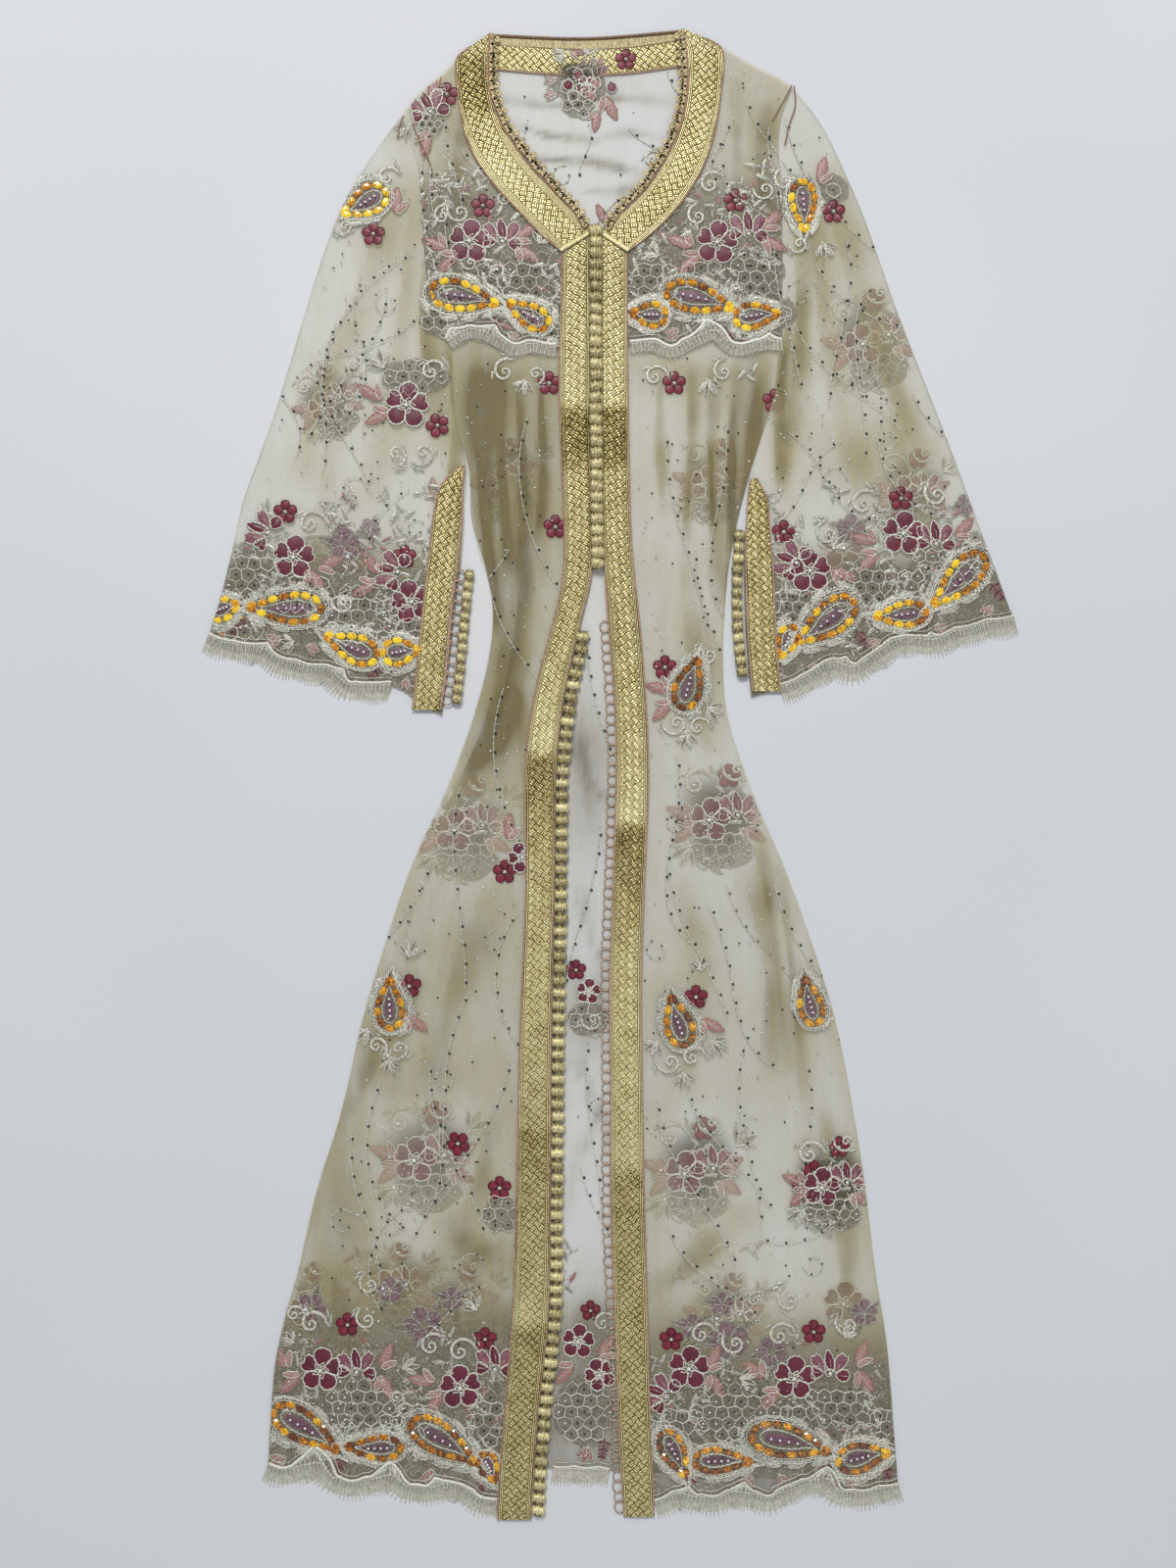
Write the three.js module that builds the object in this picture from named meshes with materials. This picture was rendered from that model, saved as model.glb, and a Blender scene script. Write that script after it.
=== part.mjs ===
// Floor-length open-front robe of sheer embroidered net, laid flat on its back.
// Millimetres. +X is the robe's right-hand side as it is seen, +Y points to the neck, +Z up.
import * as THREE from 'three';

// Driving dimensions
const netWall = 1;            // one layer of net
const braidWall = 1.3;        // woven braid
const seamGap = 0.3;          // air between pieces that lie on or beside each other
const armholeGap = 0.8;       // air between a sleeve and the body, wide enough for the curve
const sleeveHollow = 0.7;     // air inside a sleeve where it lies flat
const flatEdge = 36;          // band along a braided edge that stays flat under its braid
const edgeFade = 22;          // a fold dies away over this width beside that band
const sideFade = 14;          // and over this width at a side seam
const hemBand = 26;           // a hem lies flat over this depth

const knotPitch = 12;         // front buttons
const cuffKnotPitch = 10.7;   // cuff buttons
const loopPitch = 10;         // button loops
const picotPitch = 8.4;       // knots of the neck edging
const strandPitch = 8.8;      // fringe strands
const strandWidth = 2;
const stripDepth = 3;         // backing strip of a fringe
const stripOverhang = 1.2;    // part of it that stands out past the hem it is sewn on

// Levels of the layers, each one the underside of its piece
const backLevel = 0;
const skirtLevel = backLevel + netWall + seamGap;
const bodiceLevel = skirtLevel + netWall + seamGap;
const skirtBraidLevel = skirtLevel + netWall + seamGap;
const bodiceBraidLevel = bodiceLevel + netWall + seamGap;
const sleeveTop = 2 * netWall + sleeveHollow;
const cuffBraidLevel = sleeveTop + seamGap;

// Outlines, each row one point of a smooth edge
const shoulderLeft = [
  { x: -203, y: 638 }, { x: -184, y: 662 }, { x: -165, y: 677 }, { x: -150, y: 693 },
  { x: -136, y: 705 }, { x: -117, y: 718 },
];
const shoulderRight = [
  { x: 175, y: 667 }, { x: 158, y: 678 }, { x: 139, y: 687 }, { x: 107, y: 706 },
  { x: 88, y: 715 }, { x: 70, y: 722 },
];
const armholeLeft = [
  { x: -203, y: 638 }, { x: -186, y: 581 }, { x: -182, y: 524 }, { x: -176, y: 467 },
  { x: -158, y: 420 },
];
const armholeRight = [
  { x: 175, y: 667 }, { x: 163, y: 629 }, { x: 165, y: 572 }, { x: 166, y: 486 },
  { x: 165, y: 420 },
];
const sideLeft = [
  { x: -158, y: 420 }, { x: -152, y: 344 }, { x: -137, y: 296 }, { x: -133, y: 230 },
  { x: -117, y: 190 }, { x: -115, y: 140 }, { x: -127, y: 78 }, { x: -157, y: -8 },
  { x: -192, y: -84 }, { x: -218, y: -160 }, { x: -243, y: -245 }, { x: -262, y: -329 },
  { x: -284, y: -398 }, { x: -304, y: -483 }, { x: -323, y: -554 }, { x: -329, y: -616 },
  { x: -332, y: -668 },
];
const sideRight = [
  { x: 165, y: 420 }, { x: 161, y: 370 }, { x: 145, y: 330 }, { x: 130, y: 277 },
  { x: 115, y: 211 }, { x: 109, y: 135 }, { x: 111, y: 68 }, { x: 134, y: -8 },
  { x: 166, y: -84 }, { x: 194, y: -160 }, { x: 217, y: -236 }, { x: 234, y: -321 },
  { x: 246, y: -397 }, { x: 255, y: -473 }, { x: 267, y: -549 }, { x: 273, y: -625 },
  { x: 278, y: -687 },
];
const neckLeft = [
  { x: -117, y: 718 }, { x: -119, y: 694 }, { x: -117, y: 657 }, { x: -100, y: 619 },
  { x: -75, y: 586 }, { x: -46, y: 556 }, { x: -19, y: 526 },
];
const neckRight = [
  { x: 70, y: 722 }, { x: 74, y: 694 }, { x: 74, y: 657 }, { x: 58, y: 605 },
  { x: 33, y: 567 }, { x: 10, y: 543 }, { x: -11, y: 526 },
];
const neckOuterLeft = [
  { x: -136, y: 705 }, { x: -149, y: 694 }, { x: -148, y: 662 }, { x: -139, y: 615 },
  { x: -118, y: 578 }, { x: -93, y: 550 }, { x: -70, y: 526 }, { x: -49, y: 508 },
];
const neckOuterRight = [
  { x: 92, y: 713 }, { x: 107, y: 703 }, { x: 106, y: 662 }, { x: 97, y: 612 },
  { x: 78, y: 569 }, { x: 58, y: 543 }, { x: 37, y: 523 }, { x: 17, y: 508 },
];
// The braided front edges, `outer` towards the side seam and `inner` at the opening
const frontLeft = [
  { y: 500, outer: -47, inner: -19 }, { y: 372, outer: -50, inner: -19 },
  { y: 197, outer: -46, inner: -19 }, { y: 144, outer: -57, inner: -31 },
  { y: 87, outer: -72, inner: -44 }, { y: 16, outer: -82, inner: -53 },
  { y: -103, outer: -82, inner: -55 }, { y: -255, outer: -88, inner: -58 },
  { y: -407, outer: -91, inner: -59 }, { y: -521, outer: -95, inner: -61 },
  { y: -616, outer: -103, inner: -71 }, { y: -692, outer: -109, inner: -76 },
  { y: -719, outer: -110, inner: -78 },
];
const frontRight = [
  { y: 500, outer: 15, inner: -11 }, { y: 372, outer: 16, inner: -11 },
  { y: 220, outer: 20, inner: -7 }, { y: 154, outer: 27, inner: -3 },
  { y: 78, outer: 33, inner: 3 }, { y: 2, outer: 36, inner: 5 },
  { y: -103, outer: 32, inner: 2 }, { y: -198, outer: 29, inner: -1 },
  { y: -312, outer: 30, inner: 0 }, { y: -416, outer: 32, inner: 0 },
  { y: -521, outer: 35, inner: 4 }, { y: -635, outer: 38, inner: 8 },
  { y: -692, outer: 41, inner: 11 }, { y: -716, outer: 41, inner: 13 },
];
// Scalloped hems, from the side seam to the opening
const bodiceHemLeft = [
  { x: -158, y: 420 }, { x: -146, y: 429 }, { x: -127, y: 431 }, { x: -112, y: 425 },
  { x: -98, y: 415 }, { x: -79, y: 418 }, { x: -53, y: 414 }, { x: -19, y: 415 },
];
const bodiceHemRight = [
  { x: 165, y: 420 }, { x: 154, y: 423 }, { x: 139, y: 418 }, { x: 125, y: 412 },
  { x: 106, y: 428 }, { x: 87, y: 429 }, { x: 68, y: 413 }, { x: 40, y: 419 },
  { x: 18, y: 417 }, { x: -11, y: 415 },
];
const skirtHemLeft = [
  { x: -332, y: -668 }, { x: -307, y: -673 }, { x: -288, y: -663 }, { x: -265, y: -682 },
  { x: -241, y: -684 }, { x: -217, y: -677 }, { x: -198, y: -687 }, { x: -174, y: -690 },
  { x: -151, y: -684 }, { x: -136, y: -696 }, { x: -111, y: -704 }, { x: -78, y: -719 },
];
const skirtHemRight = [
  { x: 278, y: -687 }, { x: 263, y: -690 }, { x: 244, y: -694 }, { x: 215, y: -690 },
  { x: 206, y: -680 }, { x: 187, y: -684 }, { x: 168, y: -690 }, { x: 149, y: -701 },
  { x: 130, y: -692 }, { x: 111, y: -696 }, { x: 90, y: -701 }, { x: 73, y: -694 },
  { x: 44, y: -703 }, { x: 13, y: -716 },
];
const backHem = [
  { x: -332, y: -664 }, { x: -240, y: -667 }, { x: -27, y: -668 }, { x: 180, y: -673 },
  { x: 278, y: -682 },
];
const backNeck = [
  { x: -117, y: 718 }, { x: -98, y: 713 }, { x: -60, y: 714 }, { x: -22, y: 715 },
  { x: 16, y: 716 }, { x: 54, y: 721 }, { x: 70, y: 722 },
];
const sleeveOuterLeft = [
  { x: -203, y: 638 }, { x: -231, y: 600 }, { x: -254, y: 562 }, { x: -271, y: 524 },
  { x: -290, y: 467 }, { x: -307, y: 410 }, { x: -329, y: 339 }, { x: -355, y: 268 },
  { x: -372, y: 192 }, { x: -389, y: 135 },
];
const sleeveOuterRight = [
  { x: 175, y: 667 }, { x: 204, y: 629 }, { x: 227, y: 581 }, { x: 247, y: 534 },
  { x: 270, y: 467 }, { x: 296, y: 399 }, { x: 325, y: 325 }, { x: 348, y: 263 },
  { x: 369, y: 206 }, { x: 389, y: 152 },
];
const sleeveInnerLeft = [
  { x: -158, y: 420 }, { x: -156, y: 344 }, { x: -145, y: 304 }, { x: -141, y: 272 },
  { x: -143, y: 220 }, { x: -150, y: 163 }, { x: -155, y: 116 }, { x: -163, y: 58 },
];
const sleeveInnerRight = [
  { x: 165, y: 420 }, { x: 164, y: 370 }, { x: 151, y: 330 }, { x: 136, y: 282 },
  { x: 129, y: 239 }, { x: 128, y: 182 }, { x: 130, y: 130 }, { x: 135, y: 76 },
];
const sleeveHemLeft = [
  { x: -389, y: 135 }, { x: -366, y: 127 }, { x: -340, y: 124 }, { x: -307, y: 107 },
  { x: -279, y: 106 }, { x: -250, y: 87 }, { x: -212, y: 88 }, { x: -190, y: 74 },
  { x: -163, y: 58 },
];
const sleeveHemRight = [
  { x: 389, y: 152 }, { x: 348, y: 144 }, { x: 301, y: 130 }, { x: 277, y: 133 },
  { x: 258, y: 121 }, { x: 239, y: 106 }, { x: 215, y: 111 }, { x: 191, y: 97 },
  { x: 164, y: 86 }, { x: 135, y: 76 },
];
// Cuff braids, measured inwards from the sleeve's inner edge
const cuffBraidLeft = [
  { y: 300, outer: -146, inner: -141 }, { y: 276, outer: -166, inner: -143 },
  { y: 240, outer: -172, inner: -144 }, { y: 163, outer: -181, inner: -153 },
  { y: 97, outer: -188, inner: -159 }, { y: 64, outer: -191, inner: -164 },
];
const cuffBraidRight = [
  { y: 288, outer: 140, inner: 134 }, { y: 272, outer: 149, inner: 132 },
  { y: 230, outer: 153, inner: 130 }, { y: 182, outer: 157, inner: 130 },
  { y: 130, outer: 159, inner: 132 }, { y: 82, outer: 163, inner: 136 },
];

// Folds that run down a piece. `across` is the fraction from the side seam to the opening,
// `from` and `to` the fractions of the length, `spread` the half-width as a fraction of the
// piece's width, and `height` the rise of the crest.
const skirtFoldsLeft = [
  { across: 0.12, from: 0.05, to: 0.31, spread: 0.06, height: 3.2 },
  { across: 0.26, from: 0.06, to: 0.42, spread: 0.06, height: 4.4 },
  { across: 0.4, from: 0.05, to: 0.27, spread: 0.055, height: 3.6 },
  { across: 0.53, from: 0.08, to: 0.36, spread: 0.06, height: 3 },
  { across: 0.18, from: 0.34, to: 0.95, spread: 0.07, height: 5.5 },
  { across: 0.41, from: 0.3, to: 0.78, spread: 0.06, height: 6.5 },
  { across: 0.59, from: 0.45, to: 0.96, spread: 0.07, height: 4.5 },
  { across: 0.76, from: 0.36, to: 0.72, spread: 0.055, height: 3.5 },
];
const skirtFoldsRight = [
  { across: 0.12, from: 0.05, to: 0.28, spread: 0.055, height: 3.4 },
  { across: 0.25, from: 0.06, to: 0.34, spread: 0.06, height: 4.2 },
  { across: 0.4, from: 0.05, to: 0.25, spread: 0.055, height: 3.8 },
  { across: 0.54, from: 0.07, to: 0.33, spread: 0.06, height: 2.8 },
  { across: 0.24, from: 0.36, to: 0.7, spread: 0.06, height: 7 },
  { across: 0.14, from: 0.55, to: 0.96, spread: 0.065, height: 4.6 },
  { across: 0.47, from: 0.33, to: 0.84, spread: 0.065, height: 5.2 },
  { across: 0.7, from: 0.42, to: 0.95, spread: 0.06, height: 4 },
];
const bodiceFolds = [
  { across: 0.2, from: 0.3, to: 0.92, spread: 0.11, height: 1.8 },
  { across: 0.45, from: 0.42, to: 0.9, spread: 0.1, height: 1.3 },
];
const sleeveFoldsLeft = [
  { across: 0.3, from: 0.05, to: 0.6, spread: 0.1, height: 3.4 },
  { across: 0.6, from: 0.25, to: 0.85, spread: 0.09, height: 3 },
  { across: 0.17, from: 0.5, to: 0.94, spread: 0.09, height: 2.4 },
];
const sleeveFoldsRight = [
  { across: 0.34, from: 0.06, to: 0.7, spread: 0.1, height: 3.6 },
  { across: 0.58, from: 0.2, to: 0.62, spread: 0.08, height: 2.6 },
  { across: 0.2, from: 0.45, to: 0.93, spread: 0.09, height: 2.6 },
];
// Creases that lie slantwise across the fronts
const creasesLeft = [
  { x: -184, y: -426, toX: -100, toY: -502, spread: 17, height: 5 },
  { x: -150, y: 60, toX: -196, toY: -120, spread: 14, height: 3.5 },
];
const creasesRight = [
  { x: 62, y: -505, toX: 158, toY: -418, spread: 17, height: 5 },
  { x: 128, y: 20, toX: 168, toY: -150, spread: 13, height: 3.5 },
];
const noCreases = [];

// Number of cells across and along each kind of piece
const armholeCells = 10;      // the same on the body and on the sleeve, so that they match
const shoulderCells = 6;
const sideCells = 22;
const skirtCells = { across: 15, along: 24 };
const bodiceCells = { across: 8, along: armholeCells };
const neckCells = 7;          // of the cells along a bodice, those down its neck edge
const sleeveCells = { across: armholeCells, along: 12 };
const backCells = { across: 2, along: shoulderCells + armholeCells + sideCells };
const frontBraidCells = 34;
const neckBraidCells = 14;
const cuffBraidCells = 9;
const bandCells = 8;

const { lerp, smoothstep } = THREE.MathUtils;

// Curves

function edgeCurve(...tables) {
  const points = tables.flat().map((row) => new THREE.Vector3(row.x, row.y, 0));
  const separate = points.filter((point, i) => i === 0 || point.distanceTo(points[i - 1]) > 0.01);
  return new THREE.CatmullRomCurve3(separate, false, 'centripetal');
}

function pointsAlong(curve, cells) {
  return curve.getSpacedPoints(cells);
}

function columnOf(table, column) {
  return table.map((row) => ({ x: row[column], y: row.y }));
}

function movedBy(table, dx) {
  return table.map((row) => ({ x: row.x + dx, y: row.y }));
}

// A four-sided patch between its edges: `side` and `opening` run down, `top` and `hem` across
function patchOf({ side, opening, top, hem, across, along }) {
  const sidePoints = Array.isArray(side) ? side : pointsAlong(side, along);
  const openingPoints = Array.isArray(opening) ? opening : pointsAlong(opening, along);
  const topPoints = pointsAlong(top, across);
  const hemPoints = pointsAlong(hem, across);
  return sidePoints.map((sidePoint, row) => {
    const v = row / along;
    return topPoints.map((topPoint, column) => {
      const u = column / across;
      const mixed = new THREE.Vector3();
      mixed.addScaledVector(topPoint, 1 - v);
      mixed.addScaledVector(hemPoints[column], v);
      mixed.addScaledVector(sidePoint, 1 - u);
      mixed.addScaledVector(openingPoints[row], u);
      mixed.addScaledVector(topPoints[0], -(1 - u) * (1 - v));
      mixed.addScaledVector(topPoints[across], -u * (1 - v));
      mixed.addScaledVector(hemPoints[0], -(1 - u) * v);
      mixed.addScaledVector(hemPoints[across], -u * v);
      return mixed;
    });
  });
}

// A strip between two edges that run the same way
function stripOf(first, second, along) {
  const firstPoints = pointsAlong(first, along);
  const secondPoints = pointsAlong(second, along);
  return firstPoints.map((point, row) => [point, secondPoints[row]]);
}

// Folds

function bell(distance, spread) {
  return Math.exp(-((distance / spread) ** 2));
}

// Shares of a fold's length over which it rises and dies away
const foldEnds = { rise: 0.3, fall: 0.35 };

function foldRise(fold, u, v) {
  const length = fold.to - fold.from;
  const ends = smoothstep(v, fold.from, fold.from + length * foldEnds.rise)
    * (1 - smoothstep(v, fold.to - length * foldEnds.fall, fold.to));
  return fold.height * ends * bell(u - fold.across, fold.spread);
}

function creaseRise(crease, point) {
  const start = new THREE.Vector3(crease.x, crease.y, 0);
  const end = new THREE.Vector3(crease.toX, crease.toY, 0);
  const nearest = new THREE.Line3(start, end).closestPointToPoint(point, true, new THREE.Vector3());
  return crease.height * bell(nearest.distanceTo(point), crease.spread);
}

// The rise of every point of a patch, flat under its braid, at its side seam and at its hem
function risesOf(patch, folds, creases) {
  const along = patch.length - 1;
  return patch.map((row, i) => {
    const across = row.length - 1;
    const width = row[0].distanceTo(row[across]);
    return row.map((point, j) => {
      const u = j / across;
      const v = i / along;
      const fromHem = point.distanceTo(patch[along][j]);
      const calm = smoothstep((1 - u) * width, flatEdge, flatEdge + edgeFade)
        * smoothstep(u * width, 0, sideFade) * smoothstep(fromHem, hemBand, 3 * hemBand);
      const folded = folds.reduce((sum, fold) => sum + foldRise(fold, u, v), 0);
      const creased = creases.reduce((sum, crease) => sum + creaseRise(crease, point), 0);
      return calm * (folded + creased);
    });
  });
}

// Solids

function geometryOf(quads) {
  const corners = [];
  for (const [a, b, c, d] of quads) {
    corners.push(a, b, c);
    if (d) corners.push(a, c, d);
  }
  const geometry = new THREE.BufferGeometry().setFromPoints(corners);
  if (signedVolume(corners) < 0) turnInsideOut(corners, geometry);
  geometry.computeVertexNormals();
  return geometry;
}

function signedVolume(corners) {
  let volume = 0;
  for (let i = 0; i < corners.length; i += 3) {
    volume += corners[i].dot(corners[i + 1].clone().cross(corners[i + 2]));
  }
  return volume;
}

function turnInsideOut(corners, geometry) {
  const turned = [];
  for (let i = 0; i < corners.length; i += 3) {
    turned.push(corners[i], corners[i + 2], corners[i + 1]);
  }
  geometry.setFromPoints(turned);
}

// Quads between closed rings that follow one another
function quadsBetween(rings) {
  const quads = [];
  for (let i = 0; i + 1 < rings.length; i += 1) {
    const ring = rings[i];
    const next = rings[i + 1];
    ring.forEach((point, j) => {
      const k = (j + 1) % ring.length;
      quads.push([point, ring[k], next[k], next[j]]);
    });
  }
  return quads;
}

// Quads that close a flat ring, whose first half lies over its second half
function capOf(ring, reversed) {
  const last = ring.length - 1;
  const quads = [];
  for (let j = 0; j + 1 < ring.length / 2; j += 1) {
    const quad = [ring[j], ring[last - j], ring[last - j - 1], ring[j + 1]];
    quads.push(reversed ? quad.reverse() : quad);
  }
  return quads;
}

function solidFromRings(rings) {
  const start = capOf(rings[0], false);
  const end = capOf(rings[rings.length - 1], true);
  return geometryOf([...quadsBetween(rings), ...start, ...end]);
}

function atHeight(point, z) {
  return new THREE.Vector3(point.x, point.y, z);
}

function ringOfRow(row, undersides, wall) {
  const upper = row.map((point, j) => atHeight(point, undersides[j] + wall));
  const lower = row.map((point, j) => atHeight(point, undersides[j]));
  return [...upper, ...lower.reverse()];
}

// A wall of even thickness on a patch, its underside `level` plus the rise of the folds
function wallOn(patch, level, rises, wall) {
  const rings = patch.map((row, i) => {
    const undersides = row.map((point, j) => level + (rises ? rises[i][j] : 0));
    return ringOfRow(row, undersides, wall);
  });
  return solidFromRings(rings);
}

// A flattened tube, open at both ends, whose lower layer is flat and whose upper layer is folded
function sleeveOn(patch, rises) {
  const outerRings = patch.map((row, i) => {
    const upper = row.map((point, j) => atHeight(point, sleeveTop + rises[i][j]));
    const lower = row.map((point) => atHeight(point, 0));
    return [...upper, ...lower.reverse()];
  });
  const innerRings = patch.map((row, i) => {
    const last = row.length - 1;
    const inset = netWall / row[0].distanceTo(row[last]);
    const inside = row.slice();
    inside[0] = row[0].clone().lerp(row[last], inset);
    inside[last] = row[last].clone().lerp(row[0], inset);
    const upper = inside.map((point, j) => atHeight(point, sleeveTop - netWall + rises[i][j]));
    const lower = inside.map((point) => atHeight(point, netWall));
    return [...upper, ...lower.reverse()];
  });
  const outside = quadsBetween(outerRings);
  const inside = quadsBetween(innerRings).map((quad) => quad.reverse());
  const armhole = quadsBetween([innerRings[0], outerRings[0]]);
  const last = patch.length - 1;
  const cuff = quadsBetween([outerRings[last], innerRings[last]]);
  return geometryOf([...outside, ...inside, ...armhole, ...cuff]);
}

// Places along a curve, each with the direction across it
function stationsOn(curve, count) {
  const stations = [];
  for (let i = 0; i <= count; i += 1) {
    const tangent = curve.getTangentAt(i / count);
    const across = new THREE.Vector3(-tangent.y, tangent.x, 0);
    stations.push({ point: curve.getPointAt(i / count), across });
  }
  return stations;
}

// A cord whose width swells once every pitch. `side` is +1 or -1, the side of the curve it is on,
// and `start` where it begins on that side.
function scallops(curve, { pitch, start, depth, waist, level, height, side }) {
  const count = 2 * Math.round(curve.getLength() / pitch);
  const rings = stationsOn(curve, count).map((station, i) => {
    const reach = i % 2 === 1 ? depth : waist;
    const near = station.point.clone().addScaledVector(station.across, side * start);
    const far = station.point.clone().addScaledVector(station.across, side * reach);
    return ringOfRow([near, far], [level, level], height);
  });
  return solidFromRings(rings);
}

// A string of thread knots: rings of four points that swell once every pitch. `levelAt` gives
// the underside at a height y.
function knots(curve, { pitch, halfWidth, halfHeight, neck, levelAt }) {
  const count = 2 * Math.round(curve.getLength() / pitch);
  const rings = stationsOn(curve, count).map((station, i) => {
    const swell = i % 2 === 1 ? 1 : neck;
    const sideways = station.across.clone().multiplyScalar(halfWidth * swell);
    const centre = atHeight(station.point, levelAt(station.point.y) + halfHeight);
    const up = new THREE.Vector3(0, 0, halfHeight * swell);
    return [centre.clone().add(sideways), centre.clone().add(up),
      centre.clone().sub(sideways), centre.clone().sub(up)];
  });
  return solidFromRings(rings);
}

// A comb of strands on a narrow strip, which is sewn on the hem that the curve follows
function fringe(curve, { level, height, length, side, tipLevel }) {
  const strands = Math.round(curve.getLength() / strandPitch);
  const halfStrand = strandWidth / 2 / curve.getLength();
  const places = [0];
  for (let i = 0; i < strands; i += 1) {
    const middle = (i + 0.5) / strands;
    places.push(middle - halfStrand, middle + halfStrand);
  }
  places.push(1);
  const sections = places.map((t) => {
    const tangent = curve.getTangentAt(t);
    const outward = new THREE.Vector3(-tangent.y * side, tangent.x * side, 0);
    const far = curve.getPointAt(t).addScaledVector(outward, stripOverhang);
    const near = far.clone().addScaledVector(outward, -stripDepth);
    return { ring: ringOfRow([near, far], [level, level], height), outward, far };
  });
  const rings = sections.map((section) => section.ring);
  const quads = [...capOf(rings[0], false), ...capOf(rings[rings.length - 1], true)];
  for (let i = 0; i + 1 < rings.length; i += 1) {
    const between = quadsBetween([rings[i], rings[i + 1]]);
    const isStrand = i % 2 === 1;
    if (isStrand) {
      const root = between[1];
      between.splice(1, 1, ...strandOn(root, sections[i], i, { length, tipLevel }));
    }
    quads.push(...between);
  }
  return geometryOf(quads);
}

// How far a tip strays aside in mm, how much the length varies, and how both change by strand
const strandSway = { aside: 2.2, asideStep: 1.7, longer: 0.1, longerStep: 2.9 };

// The four sides of one strand, from its root to a point
function strandOn([a, b, c, d], section, index, { length, tipLevel }) {
  const sway = strandSway.aside * Math.sin(index * strandSway.asideStep);
  const reach = length * (1 + strandSway.longer * Math.sin(index * strandSway.longerStep));
  const outward = section.outward;
  const tip = section.far.clone().addScaledVector(outward, reach);
  tip.addScaledVector(new THREE.Vector3(outward.y, -outward.x, 0), sway);
  tip.z = tipLevel;
  return [[a, b, tip], [b, c, tip], [c, d, tip], [d, a, tip]];
}

// Materials

function cloth(colour, roughness, metalness) {
  return new THREE.MeshStandardMaterial({ color: colour, roughness, metalness });
}

const netLook = cloth(0xc4bfa6, 0.85, 0);
const braidLook = cloth(0xb5a76a, 0.42, 0.35);
const knotLook = cloth(0xc6b67c, 0.4, 0.35);
const cordLook = cloth(0xb79a86, 0.7, 0);
const fringeLook = cloth(0xb9b4a2, 0.75, 0);

const robe = new THREE.Group();

function add(name, geometry, look) {
  const piece = new THREE.Mesh(geometry, look.clone());
  piece.name = name;
  robe.add(piece);
}

// Body panels

const fronts = {
  left: {
    shoulder: shoulderLeft, armhole: armholeLeft, side: sideLeft, neck: neckLeft,
    neckOuter: neckOuterLeft, edge: frontLeft, bodiceHem: bodiceHemLeft, skirtHem: skirtHemLeft,
    folds: skirtFoldsLeft, creases: creasesLeft, outwards: -1,
  },
  right: {
    shoulder: shoulderRight, armhole: armholeRight, side: sideRight, neck: neckRight,
    neckOuter: neckOuterRight, edge: frontRight, bodiceHem: bodiceHemRight, skirtHem: skirtHemRight,
    folds: skirtFoldsRight, creases: creasesRight, outwards: 1,
  },
};
const sleeves = {
  left: {
    armhole: armholeLeft, outer: sleeveOuterLeft, inner: sleeveInnerLeft, hem: sleeveHemLeft,
    folds: sleeveFoldsLeft, braid: cuffBraidLeft, outwards: -1,
  },
  right: {
    armhole: armholeRight, outer: sleeveOuterRight, inner: sleeveInnerRight, hem: sleeveHemRight,
    folds: sleeveFoldsRight, braid: cuffBraidRight, outwards: 1,
  },
};

// The edge of the body from the neck over the shoulder and armhole down to the hem
function bodyEdge(front) {
  const shoulder = pointsAlong(edgeCurve(front.shoulder.slice().reverse()), shoulderCells);
  const armhole = pointsAlong(edgeCurve(front.armhole), armholeCells);
  const side = pointsAlong(edgeCurve(front.side), sideCells);
  return [...shoulder, ...armhole.slice(1), ...side.slice(1)];
}

function backGeometry() {
  const patch = patchOf({
    side: bodyEdge(fronts.left),
    opening: bodyEdge(fronts.right),
    top: edgeCurve(backNeck),
    hem: edgeCurve(backHem),
    ...backCells,
  });
  return wallOn(patch, backLevel, null, netWall);
}

// The front edge below a height, down its `column`
function edgeBelow(front, top, column) {
  return columnOf(front.edge.filter((row) => row.y < top), column);
}

function bodiceGeometry(front) {
  const hemEnd = front.bodiceHem[front.bodiceHem.length - 1];
  const neckEnd = front.neck[front.neck.length - 1];
  const neck = pointsAlong(edgeCurve(front.neck), neckCells);
  const closedEdge = pointsAlong(edgeCurve([neckEnd, hemEnd]), bodiceCells.along - neckCells);
  const patch = patchOf({
    side: edgeCurve(front.armhole),
    opening: [...neck, ...closedEdge.slice(1)],
    top: edgeCurve(front.shoulder),
    hem: edgeCurve(front.bodiceHem),
    ...bodiceCells,
  });
  return wallOn(patch, bodiceLevel, risesOf(patch, bodiceFolds, noCreases), netWall);
}

const skirtTop = 436;         // the gathered top, hidden under the bodice hem
const skirtTopInset = 3;      // it keeps this far inside the armhole

function skirtGeometry(front) {
  const start = { x: front.side[0].x - front.outwards * skirtTopInset, y: skirtTop };
  const end = { x: front.edge[0].inner, y: skirtTop };
  const patch = patchOf({
    side: edgeCurve([start], front.side),
    opening: edgeCurve([end], edgeBelow(front, skirtTop, 'inner')),
    top: new THREE.LineCurve3(atHeight(start, 0), atHeight(end, 0)),
    hem: edgeCurve(front.skirtHem),
    ...skirtCells,
  });
  return wallOn(patch, skirtLevel, risesOf(patch, front.folds, front.creases), netWall);
}

function sleeveGeometry(sleeve) {
  const apart = sleeve.outwards * armholeGap;
  const patch = patchOf({
    side: edgeCurve(movedBy(sleeve.outer, apart)),
    opening: edgeCurve(movedBy(sleeve.inner, apart)),
    top: edgeCurve(movedBy(sleeve.armhole, apart)),
    hem: edgeCurve(movedBy(sleeve.hem, apart)),
    ...sleeveCells,
  });
  return sleeveOn(patch, risesOf(patch, sleeve.folds, noCreases));
}

// Braids

const braidDrop = 30;         // the front braid steps down from the bodice over this length
const bodiceHemLow = 408;     // just below the bodice's hem
const mitreTop = { outer: 505, inner: 523 };   // it starts under the slant ends of the neck braids

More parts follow.
